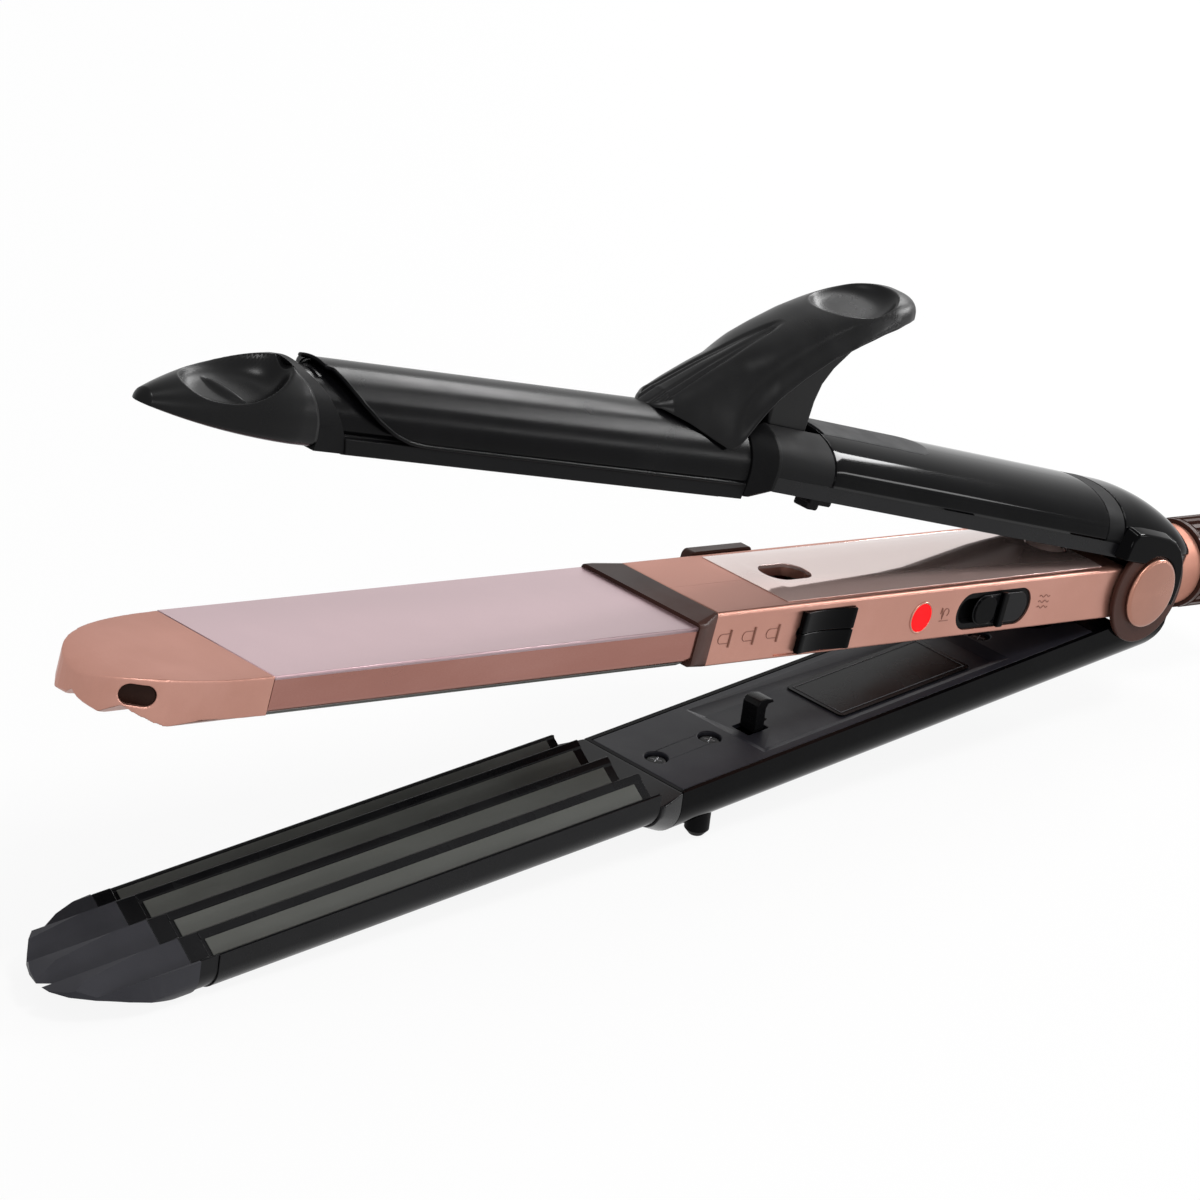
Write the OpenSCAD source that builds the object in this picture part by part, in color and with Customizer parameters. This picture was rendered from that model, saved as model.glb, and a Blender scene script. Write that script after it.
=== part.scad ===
// Three-arm hair styler: a curling barrel with a clamp on top, a middle arm with a flat
// and a wave plate, and a lower arm with a wave plate. All three arms turn on one pin.
// X runs along the arms with the tips at -X, Y is the pin's direction, Z is up.

/* [Plates] */
// Width of the middle arm and its plates
plate_w = 30; // [28:0.5:31]
// Distance from the hinge pin to the rear end of the plates
plate_rear = 141.2; // [140:0.2:143]
// Length of the heated plates
plate_len = 111.5; // [105:0.5:113]
// Height of the flat plate's surface over the pin
plate_top = 3.96; // [3.6:0.02:4.2]
// Distance between two wave crests
wave_pitch = 8; // [7.8:0.1:8.2]
// Depth of the waves
wave_depth = 3.1; // [2.6:0.1:3.3]

/* [Middle handle] */
// Half width of the middle handle
handle_hw = 12.8; // [12.4:0.1:13]
// Height of the middle handle's top over the pin
handle_top = 5.2; // [5:0.1:5.3]
// Depth of the middle handle's underside below the pin
handle_bottom = 5.6; // [5.2:0.1:5.7]
// Wall thickness of the plastic shells
wall = 1.8; // [1.5:0.1:2]
// Travel of the lock slider
lock_travel = 6; // [4:0.5:6]
// Travel of the function switch
switch_travel = 5; // [3:0.5:5]

/* [Upper arm] */
// Angle between the middle arm and the open upper arm's barrel
upper_open = 7.8; // [7.4:0.1:8]
// Extra angle between the barrel and its handle
upper_kink = 2.66; // [2.2:0.02:2.8]
// Radius of the curling clamp's outside
clamp_r = 9.5; // [9.3:0.1:9.6]
// Height of the upper frame's flat underside over the pin
upper_face = 8.4; // [8.3:0.1:8.6]
// Height of the clamp's centre line over the pin
clamp_z = 12.6; // [12.4:0.1:12.7]
// Half width of the upper handle
upper_hw = 12.6; // [12.2:0.1:12.7]

/* [Lower arm] */
// Angle between the middle arm and the open lower arm's handle
lower_open = 10.83; // [10.4:0.01:11]
// Angle by which the lower plate leans towards the middle arm
lower_kink = 1; // [0.5:0.1:1.1]
// Depth of the lower wave crests below the pin
crest_z = 4.36; // [4.3:0.02:4.5]
// Depth of the lower handle's inner panel below the pin
panel_z = 6.2; // [6:0.1:6.4]
// Depth of the lower handle's outside below the pin
lower_base = 16.5; // [16:0.1:17]
// Distance of the two feet from the pin
foot_x = 122.5; // [118:0.5:124]
// Depth of the feet's ends below the pin
foot_z = 20.2; // [19.5:0.1:21]

/* [Hinge and tail] */
// Diameter of the hinge pin
pin_d = 5; // [4.5:0.1:5.5]
// Radius of the round ears on the pin
ear_r = 5; // [4.6:0.1:5]
// Radius of the side caps
cap_r = 7.3; // [7:0.1:7.6]
// Radius of the dark rings round the caps
ring_r = 10.8; // [10:0.1:11]
// Bore for the mains lead in the swivel gland
cord_bore = 6.4; // [5.5:0.1:7]
// Outside radius of the swivel gland
gland_r = 9.2; // [8.8:0.1:9.3]

/* [Hidden] */
$fn = 48;

black_gloss = [0.03, 0.03, 0.04];
black_matte = [0.13, 0.13, 0.14];
black_soft = [0.2, 0.2, 0.21];
rose_gold = [0.72, 0.5, 0.42];
rose_plate = [0.62, 0.47, 0.46];
dark_brown = [0.2, 0.13, 0.12];
grey_green = [0.3, 0.32, 0.3];
steel = [0.6, 0.61, 0.63];
ceramic = [0.85, 0.84, 0.8];

plate_front = plate_rear + plate_len;
half_w = plate_w / 2;
collar_rear = 133.5;

// Bottom of the lower plate's frame, and the end where its tip begins
low_bottom = -14.2;
insert_x0 = -plate_front - 5.2;
// The lower arm stands on its two feet and on the bottom edge where its tip begins
foot_end_r = 1.4;
rest_x = insert_x0 * cos(lower_kink) + low_bottom * sin(lower_kink);
rest_z = low_bottom * cos(lower_kink) - insert_x0 * sin(lower_kink);
stand_tilt = -atan((rest_z + foot_z) / (-rest_x - foot_x - foot_end_r));
hinge_h = foot_z * cos(stand_tilt) - (foot_x + foot_end_r) * sin(stand_tilt);
// Distance of the pin from the middle of the open object's length
hinge_x = 119.4;
tilt_lower = stand_tilt;
tilt_middle = tilt_lower + lower_open;
tilt_upper = tilt_middle + upper_open;

// Lateral layers of the hinge, as distances from the centre plane
hub_y = 5.4;
upper_ear_in = 5.75;
upper_ear_out = 8.5;
lower_ear_in = 8.85;
lower_ear_out = 12.5;
ring_in = 13.1;
ring_out = 14.3;
cap_out = 15.6;
pin_half = 14.2;
// Bow in the middle shells that the outer ears turn in
bow_r = 8;
// Pocket round the pin for each opening spring
spring_pocket = 4.1;
spring_wire = 0.8;
run_gap = 0.05;

// Places an arm that is drawn level, with the pin at the origin, at its tilt
module posed(tilt) translate([hinge_x, 0, hinge_h]) rotate([0, tilt, 0]) children();
module on_middle() posed(tilt_middle) children();
module on_upper() posed(tilt_upper) children();
module on_upper_handle() posed(tilt_upper + upper_kink) children();
module on_lower() posed(tilt_lower) children();
module on_lower_plate() posed(tilt_lower + lower_kink) children();

// Extrudes a section drawn in Y and Z along X
module along_x(x0, x1) translate([x0, 0, 0]) rotate([90, 0, 90]) linear_extrude(x1 - x0) children();
// Extrudes a side view drawn in X and Z across Y
module across_y(y0, y1) translate([0, y1, 0]) rotate([90, 0, 0]) linear_extrude(y1 - y0) children();
// Extrudes a plan drawn in X and Y up Z
module up_z(z0, z1) translate([0, 0, z0]) linear_extrude(z1 - z0) children();
// Puts a copy on the near and on the far side
module both_sides() {
    children();
    mirror([0, 1, 0]) children();
}

// Rectangle between two corners with round corners of radius r
module round_rect(x0, y0, x1, y1, r) {
    translate([x0 + r, y0]) square([x1 - x0 - 2 * r, y1 - y0]);
    translate([x0, y0 + r]) square([x1 - x0, y1 - y0 - 2 * r]);
    for (x = [x0 + r, x1 - r], y = [y0 + r, y1 - r]) translate([x, y]) circle(r);
}
// Slot outline along X with round ends
module slot_2d(x0, x1, r) {
    translate([x0 + r, -r]) square([x1 - x0 - 2 * r, 2 * r]);
    for (x = [x0 + r, x1 - r]) translate([x, 0]) circle(r);
}
// Points of an ellipse arc
function oval(cx, cy, rx, ry, a0, a1, n) =
    [for (i = [0:n]) let (a = a0 + (a1 - a0) * i / n) [cx + rx * cos(a), cy + ry * sin(a)]];
// Upper points of a smooth bump of squareness p, from the left end to the right end
function bump(cx, cy, rx, ry, p, n) =
    [for (i = [0:n]) let (a = 180 - 180 * i / n)
        [cx + rx * sign(cos(a)) * pow(abs(cos(a)), 2 / p), cy + ry * pow(sin(a), 2 / p)]];
// Cylinder along Y between two distances from the centre plane
module rod_y(x, z, r, y0, y1) translate([x, y1, z]) rotate([90, 0, 0]) cylinder(r = r, h = y1 - y0);

// Plan of an arm's nose: straight sides up to x1, then an oval end at x0
module nose_plan(x0, x1, hw, p = 2.3) polygon(concat(
    [for (q = bump(0, 0, hw, x1 - x0, p, 28)) [x1 - q[1], q[0]]], [[x1 + 1, hw], [x1 + 1, -hw]]));

/* [Hidden] */
// Middle arm

// Wave line from one side to the other, crests at y = 0 and at each pitch
function wave_z(y) = let (u = abs(y) / wave_pitch) 1 - 4 * abs(u - round(u));
function wave_line(hw, z_mid, sgn) = let (p = wave_pitch / 2, n = ceil(hw / p))
    [for (i = [-n:n]) let (y = max(-hw, min(hw, i * p))) [y, z_mid + sgn * wave_z(y) * wave_depth / 2]];
notch_z = -1.7;
lobe_z = notch_z - wave_depth;

module tip_middle_solid() intersection() {
    across_y(-half_w, half_w) polygon(concat(
        [[-plate_front - 0.02, -6], [-plate_front - 0.02, plate_top - 0.05], [-plate_front - 8, plate_top - 0.1]],
        [for (i = [0:14]) let (a = 90 * i / 14)
            [-plate_front - 8 - 25.2 * pow(sin(a), 0.5), -0.4 + (plate_top + 0.3) * pow(cos(a), 0.5)]],
        [for (i = [1:10]) let (u = i / 10) [-plate_front - 8 - 25.2 * pow(1 - pow(u, 3.2), 0.4), -0.4 - 5.6 * u]]));
    up_z(-8, 8) nose_plan(-plate_front - 33, -plate_front - 0.02, half_w, 2.2);
}
module middle_tip() color(rose_gold) on_middle() difference() {
    tip_middle_solid();
    // The waves run out through the nose's underside
    along_x(-plate_front - 40, -plate_front + 1) polygon(concat([[-20, -20], [-20, lobe_z + 1.4],
        [-13.4, lobe_z + 1.4]], wave_line(13.35, notch_z - wave_depth / 2, 1), [[13.4, lobe_z + 1.4],
        [20, lobe_z + 1.4], [20, -20]]));
    // Vent in the near side of the nose
    translate([-279.6, -9.6, 0.4]) rotate([0, 0, -37]) rotate([90, 0, 0]) linear_extrude(9, center = true)
        slot_2d(-3.3, 3.3, 1.9);
    // Pocket for the plates' front ends
    along_x(-plate_front - 0.5, -plate_front + 1) round_rect(-12, -1.4, 12, 2, 0.6);
}
module plate_frame() color(rose_gold) on_middle() difference() {
    along_x(-plate_front + 0.02, -plate_rear) union() {
        round_rect(-half_w, -3.3, half_w, plate_top - 0.75, 1.6);
        translate([-half_w, 0]) square([plate_w, plate_top - 0.75]);
    }
    along_x(-plate_front + wall, -plate_rear + 1) translate([-13.4, -0.5]) square([26.8, 2.2]);
    along_x(-plate_front - 1, -plate_rear + 1) translate([-13.02, 1.68]) square([26.04, 5]);
    along_x(-plate_front - 1, -plate_rear + 1) polygon(
        [[-13.4, -5], [-13.4, -0.9], [13.4, -0.9], [13.4, -5]]);
}
module flat_plate_middle() color(rose_plate) on_middle()
    along_x(-plate_front + 0.02, -plate_rear) polygon([
        [-half_w, plate_top - 0.75], [-half_w, plate_top - 0.6], [-half_w + 0.7, plate_top],
        [half_w - 0.7, plate_top], [half_w, plate_top - 0.6], [half_w, plate_top - 0.75],
        [13, plate_top - 0.75], [13, 1.72], [-13, 1.72], [-13, plate_top - 0.75]]);
module wave_plate_middle() color(grey_green) on_middle()
    along_x(-plate_front + 0.04, -plate_rear) polygon(concat(
        [[-13.35, -0.92]], wave_line(13.35, notch_z - wave_depth / 2, 1), [[13.35, -0.92]]));
module heater_flat() color(ceramic) on_middle() for (i = [0:2])
    along_x(-plate_front + 8 + i * 35, -plate_front + 34 + i * 35) round_rect(-9, 0.65, 9, 1.68, 0.3);
module heater_wave() color(ceramic) on_middle() for (i = [0:2])
    along_x(-plate_front + 8 + i * 35, -plate_front + 34 + i * 35) round_rect(-9, -0.46, 9, 0.6, 0.3);
module heat_collar() color(dark_brown) on_middle() difference() {
    hull() {
        along_x(-plate_rear + 0.02, -plate_rear + 2.2) round_rect(-half_w - 0.3, -4.1, half_w + 0.3, 4.7, 1);
        along_x(-collar_rear - 0.4, -collar_rear - 0.02)
            round_rect(-handle_hw, -handle_bottom, handle_hw, handle_top, 0.8);
    }
    along_x(-plate_rear - 1, -collar_rear + 1) round_rect(-8, -2.6, 8, 2.2, 0.6);
}

latch_x0 = -106.6;
latch_x1 = -93.6;
latch_r = 4;
lock_x = -100.4;
led_x = -71.2;
switch_x0 = -60.2;
switch_x1 = -37;
switch_z = -0.4;
// Length of the thumb piece, so that it runs clear of both ends of its track
thumb_len = switch_x1 - switch_x0 - 2.8 - switch_travel;
dome_x = -19;
deck_h = 0.8;

module handle_outline() {
    round_rect(-collar_rear, -handle_bottom, -9, handle_top, 0.9);
    translate([-12, -ear_r]) square([12, 2 * ear_r]);
    circle(ear_r);
}
module shell_middle(side) difference() {
    intersection() {
        union() {
            across_y(-handle_hw, handle_hw) round_rect(-collar_rear, -handle_bottom, -7, handle_top, 0.6);
            across_y(-hub_y, hub_y) handle_outline();
        }
        along_x(-collar_rear, ear_r + 1) round_rect(-handle_hw, -handle_bottom, handle_hw, handle_top, 0.8);
        translate([-200, side > 0 ? 0.02 : -20, -20]) cube([260, 19.98, 40]);
    }
    // Room inside, latch windows and the pin bore
    along_x(-collar_rear + 2, -13) round_rect(-handle_hw + wall, -handle_bottom + wall,
        handle_hw - wall, handle_top - wall, 0.6);
    up_z(-20, 20) slot_2d(latch_x0, latch_x1, latch_r);
    rod_y(0, 0, pin_d / 2, -20, 20);
    both_sides() rod_y(0, 0, spring_pocket, 1.4, 20);
    // The other arms' ears turn in a bow at the rear end
    both_sides() rod_y(0, 0, bow_r, hub_y + 0.02, 20);
    if (side < 0) {
        across_y(-20, -handle_hw + wall + 1) translate([0, -0.7])
            slot_2d(lock_x - 2 - lock_travel, lock_x + 2, 1.4);
        rod_y(led_x, -0.5, 2.9, -20, -5);
        across_y(-20, -5) translate([0, switch_z]) slot_2d(switch_x0, switch_x1, 3.85);
        // Recess in which the slider's pad runs
        across_y(-20, -handle_hw + 0.4) round_rect(lock_x - 8 - lock_travel, -5, lock_x + 8, 3.8, 0.8);
    } else {
        across_y(handle_hw - wall - 1, 20) translate([0, -0.7])
            slot_2d(lock_x - 2 - lock_travel, lock_x + 2, 1.4);
    }
}
module middle_shell_near() color(rose_gold) on_middle() shell_middle(-1);
module middle_shell_far() color(rose_gold) on_middle() shell_middle(1);
module handle_deck() color(rose_gold) on_middle() difference() {
    hull() {
        up_z(handle_top + 0.02, handle_top + 0.12) translate([-111.6, -11.2]) square([97.6, 22.4]);
        up_z(handle_top + 0.12, handle_top + deck_h) translate([-107.3, -8]) square([92, 16]);
    }
    up_z(0, 20) slot_2d(latch_x0 + 0.4, latch_x1 - 0.4, latch_r - 0.4);
    translate([dome_x, 0, 0]) cylinder(r = 4.5, h = 20);
}
module stop_domes() color(rose_gold) on_middle() {
    translate([dome_x, 0, handle_top + 0.02]) intersection() {
        cylinder(r = 4.3, h = 1.9);
        translate([0, 0, -5.6]) sphere(r = 7.4);
    }
    translate([dome_x, 0, -handle_bottom - 0.02]) mirror([0, 0, 1]) intersection() {
        cylinder(r = 4.3, h = 1.9);
        translate([0, 0, -5.6]) sphere(r = 7.4);
    }
}
module led_lens() color("red") on_middle() union() {
    rod_y(led_x, -0.5, 2.85, -handle_hw - 0.15, -handle_hw + 1.6);
    rod_y(led_x, -0.5, 3.2, -handle_hw + wall + 0.05, -handle_hw + 3.2);
}
module switch_housing() color(black_matte) on_middle() difference() {
    union() {
        across_y(-handle_hw + 0.3, -handle_hw + 3) translate([0, switch_z])
            slot_2d(switch_x0 + 0.1, switch_x1 - 0.1, 3.75);
        across_y(-handle_hw + wall + 0.05, -4.6) translate([switch_x0 + 1, -3.5]) square([21, 6.6]);
    }
    // Track in which the thumb piece slides
    across_y(-20, -handle_hw + 2.3) translate([0, switch_z]) slot_2d(switch_x0 + 1, switch_x1 - 1, 2.6);
}
module circuit_board() color([0.1, 0.35, 0.2]) on_middle() difference() {
    across_y(-3.8, -2.3) translate([-81.5, -3.2]) square([49, 6.2]);
    for (x = [-79.5, -34.5]) rod_y(x, 0, 1, -20, 0);
}
module shell_screws() color(steel) on_middle() for (x = [-128, -84, -30]) {
    rod_y(x, 0, 1.1, -6, 10.6);
    rod_y(x, 0, 2.1, 10.6, handle_hw - wall - 0.05);
}
module hinge_pin() color(steel) posed(0) rod_y(0, 0, pin_d / 2, -pin_half, pin_half);
module hinge_caps() color(rose_gold) posed(0) both_sides() translate([0, ring_out + 0.02, 0])
    rotate([-90, 0, 0]) rotate_extrude($fn = 64) polygon(concat([[0, 0], [cap_r, 0]],
        [for (i = [0:6]) let (u = i / 6) [cap_r * (1 - u), 0.45 + 0.85 * sqrt(1 - pow(1 - u, 2))]]));
module hinge_rings() color(dark_brown) posed(0) both_sides() difference() {
    rod_y(0, 0, ring_r, ring_in, ring_out);
    rod_y(0, 0, pin_d / 2 + 0.02, 0, 20);
}
// One ring of wire points at turn a of a coil round Z
function coil_ring(a, rad, pitch, wire) = [for (k = [0:5]) let (b = 60 * k)
    [(rad + wire / 2 * cos(b)) * cos(a), (rad + wire / 2 * cos(b)) * sin(a),
        pitch * a / 360 + wire / 2 * sin(b)]];
// Coil spring round Z with eight rings a turn
module coil(rad, pitch, turns, wire) {
    n = ceil(turns * 8);
    rings = [for (i = [0:n]) coil_ring(turns * 360 * i / n, rad, pitch, wire)];
    points = [for (r = rings, p = r) p];
    faces = concat([[5, 4, 3, 2, 1, 0]], [for (i = [0:n - 1], k = [0:5])
        [i * 6 + k, i * 6 + (k + 1) % 6, i * 6 + 6 + (k + 1) % 6, i * 6 + 6 + k]], [[for (k = [0:5]) n * 6 + k]]);
    echo(coil_gap = pitch - wire);
    polyhedron(points, faces, convexity = 8);
}
module torsion_springs() color(steel) posed(0) both_sides()
    translate([0, 1.9, 0]) rotate([-90, 0, 0]) coil(3.3, 1.24, 2.2, spring_wire);
tail_x = 12;
tail_end = 25.6;
tail_z = -1.3;
module tail_ring() color(rose_gold) on_middle() difference() {
    union() {
        translate([tail_x, 0, tail_z]) rotate([0, 90, 0]) cylinder(r = 8.3, h = tail_end - tail_x);
        across_y(-hub_y, hub_y) translate([2.5, -3.4]) square([tail_end - 3, 6.4]);
    }
    rod_y(0, 0, ear_r + 0.02, -20, 20);
    // Room for the oval rear ends of both handles
    difference() {
        up_z(-20, 20) handle_plan(-0.9);
        translate([-50, -hub_y, -3.41]) cube([100, 2 * hub_y, 6.42]);
    }
    translate([tail_x + 1, 0, tail_z]) rotate([0, 90, 0]) cylinder(d = cord_bore, h = 20);
    translate([tail_end - 2.6, 0, tail_z]) rotate([0, 90, 0]) cylinder(r = 6.6, h = 5);
}
/* [Hidden] */
// Moving controls on the middle arm

module lock_pad() difference() {
    across_y(-handle_hw - 1.1, -handle_hw + 0.3) round_rect(lock_x - 7.7, -4.75, lock_x + 7.7, 3.6, 0.9);
    translate([lock_x, -handle_hw - 7.2, -0.7]) rotate([0, 90, 0]) cylinder(r = 6.5, h = 12, center = true, $fn = 64);
}
module lock_slider_near() color(black_matte) on_middle() {
    lock_pad();
    across_y(-handle_hw + 0.28, -9.02) translate([0, -0.7]) slot_2d(lock_x - 1.7, lock_x + 1.7, 1.1);
}
module lock_slider_far() color(dark_brown) on_middle() {
    across_y(handle_hw + 0.15, handle_hw + 2.3) round_rect(lock_x - 12.6, -3.4, lock_x + 5.6, 5.6, 1.2);
    across_y(9.02, handle_hw + 0.2) translate([0, -0.7]) slot_2d(lock_x - 1.7, lock_x + 1.7, 1.1);
}
module latch_plate(z0) up_z(z0, z0 + 0.55) difference() {
    translate([lock_x - 9, -7.42]) square([20, 14.84]);
    round_rect(lock_x - 7, -4.3, lock_x + 7.65, 4.3, 0.5);
}
module lock_yoke() color(steel) on_middle() {
    // Two side rails joined by two plates whose rear edges slide under the hooks' barbs
    both_sides() across_y(7.4, 9) translate([lock_x - 9, -3.75]) square([20, 7.1]);
    latch_plate(-3.75);
    latch_plate(2.8);
}
module switch_thumb() color(black_gloss) on_middle() union() {
    across_y(-handle_hw - 0.5, -handle_hw + 2.2) translate([0, switch_z])
        slot_2d(switch_x1 - 1.4 - thumb_len, switch_x1 - 1.4, 2.4);
    across_y(-handle_hw - 1.7, -handle_hw) round_rect(-49.3, switch_z - 2.3, -44, switch_z + 2.3, 0.7);
}
rib_count = 24;
module cord_gland() color(dark_brown) on_middle() translate([tail_end + 0.35, 0, tail_z])
    rotate([0, 90, 0]) difference() {
    union() {
        cylinder(r = gland_r - 0.7, h = 20);
        for (i = [0:rib_count - 1]) rotate([0, 0, i * 360 / rib_count])
            translate([0, -0.55, 1.4]) cube([gland_r, 1.1, 17]);
        cylinder(r = gland_r - 0.1, h = 1.2);
        translate([0, 0, -2.6]) cylinder(r = 6.3, h = 3);
    }
    translate([0, 0, -5]) cylinder(d = cord_bore, h = 40);
}
/* [Hidden] */
// Upper arm: barrel, clamp and lever

barrel_front = plate_front - 1.5;
base_hw = clamp_r;
tip_end = 290.5;
// Share of the tip's radius, and height of its lower line, from u = 0 at the seam to u = 1 at the nose
tip_hw = 9.3;
tip_droop = 2.4;
function tip_r(u) = pow(max(0, 1 - pow(u, 1.4)), 0.62);
function tip_low(u) = upper_face + 2.6 * pow(u, 2.6);
module d_section(r, z0, zc) {
    translate([0, zc]) circle(r);
    translate([-r, z0]) square([2 * r, zc - z0]);
}
module d_outline(r, z0, zc) intersection() {
    d_section(r, z0, zc);
    translate([-r, z0]) square([2 * r, 40]);
}
// Side view of the slanted cuts round the tip and its band
module slant_cut(line) polygon(concat([[-320, 0], [-320, 40]], line, [[line[len(line) - 1][0], 0]]));
tip_seam = [[-260, 40], [-259.5, 21.9], [-259, 20.6], [-257.3, 18.8], [-256.1, 16.4], [-254.8, 13.1],
    [-254.1, 10.4]];
band_seam = [[-258, 40], [-257.5, 22], [-256.6, 20.8], [-253.7, 18.8], [-251.6, 16.6], [-249.7, 14.4],
    [-247.4, 11.5], [-246.3, 9]];
module tip_upper_solid() intersection() {
    // Round nose turned on the barrel's own axis, drawn out down to the flat underside
    translate([-256, 0, clamp_z]) rotate([0, -tip_droop, 0]) union() {
        rotate([0, -90, 0]) rotate_extrude($fn = 96) polygon(concat([[0, -20], [tip_hw, -20]],
            [for (i = [0:20]) let (u = i / 20) [tip_hw * tip_r(u), 3 + (tip_end - 259) * u]]));
        up_z(-6, 0) polygon(concat([[20, -tip_hw], [20, tip_hw]],
            [for (i = [0:20]) let (u = i / 20) [-3 - (tip_end - 259) * u, tip_hw * tip_r(u)]],
            [for (i = [19:-1:0]) let (u = i / 20) [-3 - (tip_end - 259) * u, -tip_hw * tip_r(u)]]));
    }
    across_y(-12, 12) polygon(concat([[-236, 30], [-tip_end - 1, 30]],
        [for (i = [12:-1:0]) let (u = i / 12) [-251 - (tip_end - 251) * u, tip_low(u)]], [[-236, upper_face]]));
}
module upper_tip() color(black_matte) on_upper() difference() {
    intersection() {
        tip_upper_solid();
        across_y(-20, 20) slant_cut(tip_seam);
    }
    // Oval dish on the back of the tip
    translate([-270.5, 0, 16.3]) rotate_extrude($fn = 96) polygon(concat([[0, 10]],
        [for (i = [0:10]) let (u = i / 10) [11.6 * u, 0.9 * pow(u, 2) + 4.7 * pow(u, 6)]], [[11.6, 10]]));
}
module tip_band() color(black_soft) on_upper() difference() {
    intersection() {
        along_x(-290, -236) d_outline(base_hw - 0.3, upper_face + 0.05, clamp_z);
        across_y(-20, 20) slant_cut(band_seam);
    }
    translate([0.02, 0, 0]) across_y(-20, 20) slant_cut(tip_seam);
    along_x(-270, -236) d_outline(base_hw - 2.2, upper_face + 2, clamp_z);
}
module barrel() color(black_gloss) on_upper() difference() {
    along_x(-270, -134) difference() {
        translate([0, clamp_z]) circle(clamp_r - 1.3);
        translate([0, clamp_z]) circle(clamp_r - 2.7);
        translate([-20, -10]) square([40, clamp_low + 10.32]);
    }
    translate([0.02, 0, 0]) across_y(-20, 20) slant_cut(band_seam);
}
module barrel_base() color(black_matte) on_upper() difference() {
    along_x(-250, -134) difference() {
        union() {
            translate([-base_hw, upper_face]) square([2 * base_hw, clamp_low - upper_face - 0.15]);
            translate([-clamp_r + 1.32, clamp_low - 1]) square([2 * (clamp_r - 1.32), 1.3]);
        }
        translate([-7.55, upper_face - 1]) square([15.1, 3.2]);
        translate([-7.2, upper_face]) square([14.4, 10]);
    }
    translate([0.02, 0, 0]) across_y(-20, 20) slant_cut(band_seam);
}
module flat_plate_upper() color(grey_green) on_upper()
    along_x(-245, -138) union() {
        translate([-7.5, upper_face - 0.6]) square([15, 2.75]);
        translate([-6.9, upper_face + 2.1]) square([13.8, 0.5]);
    }
module heater_barrel() color(ceramic) on_upper() for (i = [0:2])
    along_x(-240 + i * 33, -214 + i * 33) round_rect(-6, upper_face + 2.62, 6, upper_face + 5, 0.4);

lever_x = -121;
lever_z = 16.6;
web_hw = 5;
lever_pin_r = 1.5;
module barrel_collar() color(black_matte) on_upper() difference() {
    hull() {
        along_x(-133.98, -132.5) d_outline(base_hw + 0.1, upper_face + 0.6, clamp_z);
        rotate([0, upper_kink, 0]) along_x(-131, -130.02) polygon(upper_section(0, 5.6));
    }
    along_x(-140, -120) translate([-6, 11.5]) square([12, 5]);
    // Notch for the lever's root
    translate([-140, -web_hw - 0.5, 12.6]) cube([20, 2 * web_hw + 1, 20]);
}
// Half section of the upper handle: dome over straight sides, down to z0
function upper_section(inset, z0) = concat(
    [[-upper_hw + inset, z0]], bump(0, 8.2, upper_hw - inset, 8.8 - inset, 2.25, 24), [[upper_hw - inset, z0]]);
module slotted_collar() color(black_matte) on_upper() difference() {
    rotate([0, upper_kink, 0]) difference() {
        along_x(-130, -113) polygon(upper_section(0.15, seam_z));
        along_x(-131, -112) polygon(upper_section(2, 6.5));
    }
    // Slot that the lever's root turns in
    translate([-140, -web_hw - 0.5, 12.6]) cube([40, 2 * web_hw + 1, 20]);
    // Bore that holds the lever's pin, open on the far side only
    rod_y(lever_x, lever_z, lever_pin_r, -11.02, 20);
}
module clamp_pin() color(steel) on_upper() rod_y(lever_x, lever_z, lever_pin_r, -11, 11);
module clamp_spring() color(steel) on_upper() translate([lever_x, -1.2, lever_z]) rotate([-90, 0, 0])
    coil(2.6, 1.25, 1.9, 0.7);
// Oval rear end of the upper handle: centre and half length
tail_cx = 6;
tail_a = 15.5;
seam_z = 8.2;
// Side profile of the upper handle with its round rear end
module handle_side(z0, z1, inset) polygon(concat([[-112.98 + inset, z0], [-112.98 + inset, z1 - inset]],
    oval(-7, 1, tail_cx + 7 + tail_a - inset, z1 - 1 - inset, 90, 0, 20), [[tail_cx + tail_a - inset, z0]]));
module handle_plan(inset) polygon(concat([[-140, upper_hw - inset], [-140, -upper_hw + inset]],
    oval(tail_cx, 0, tail_a - inset, upper_hw - inset, -90, 90, 24)));
module upper_shell_top() color(black_gloss) on_upper_handle() difference() {
    intersection() {
        along_x(-112.98, 30) polygon(upper_section(0, seam_z));
        across_y(-20, 20) handle_side(0, 17, 0);
        up_z(seam_z, 30) handle_plan(0);
    }
    intersection() {
        along_x(-111, 28) polygon(upper_section(wall, 7));
        across_y(-20, 20) handle_side(0, 17, wall);
        up_z(0, 30) handle_plan(wall);
    }
    // Seat of the soft pad and groove of the matte band
    up_z(16.1, 30) slot_2d(-124, -73.4, pad_hw + 0.1);
    band_cut(0);
    // Room for the lever's heel
    translate([-114, -web_hw - 0.5, 10]) cube([3.4, 2 * web_hw + 1, 20]);
}
band_x0 = -19;
band_x1 = -13;
module band_cut(gap) difference() {
    along_x(band_x0 + gap, band_x1 - gap) translate([-20, seam_z]) square([40, 20]);
    along_x(band_x0 - 1, band_x1 + 1) polygon(upper_section(0.9 - gap, 7));
}
module upper_band() color(black_soft) on_upper_handle() intersection() {
    band_cut(0.1);
    along_x(band_x0, band_x1) polygon(upper_section(0.05, seam_z));
}
pad_hw = 5.5;
module soft_pad() color([0.33, 0.33, 0.34]) on_upper_handle() intersection() {
    up_z(16.15, 30) slot_2d(-124, -73.5, pad_hw);
    along_x(-107.8, -50) polygon(upper_section(-0.12, 8));
}
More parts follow.
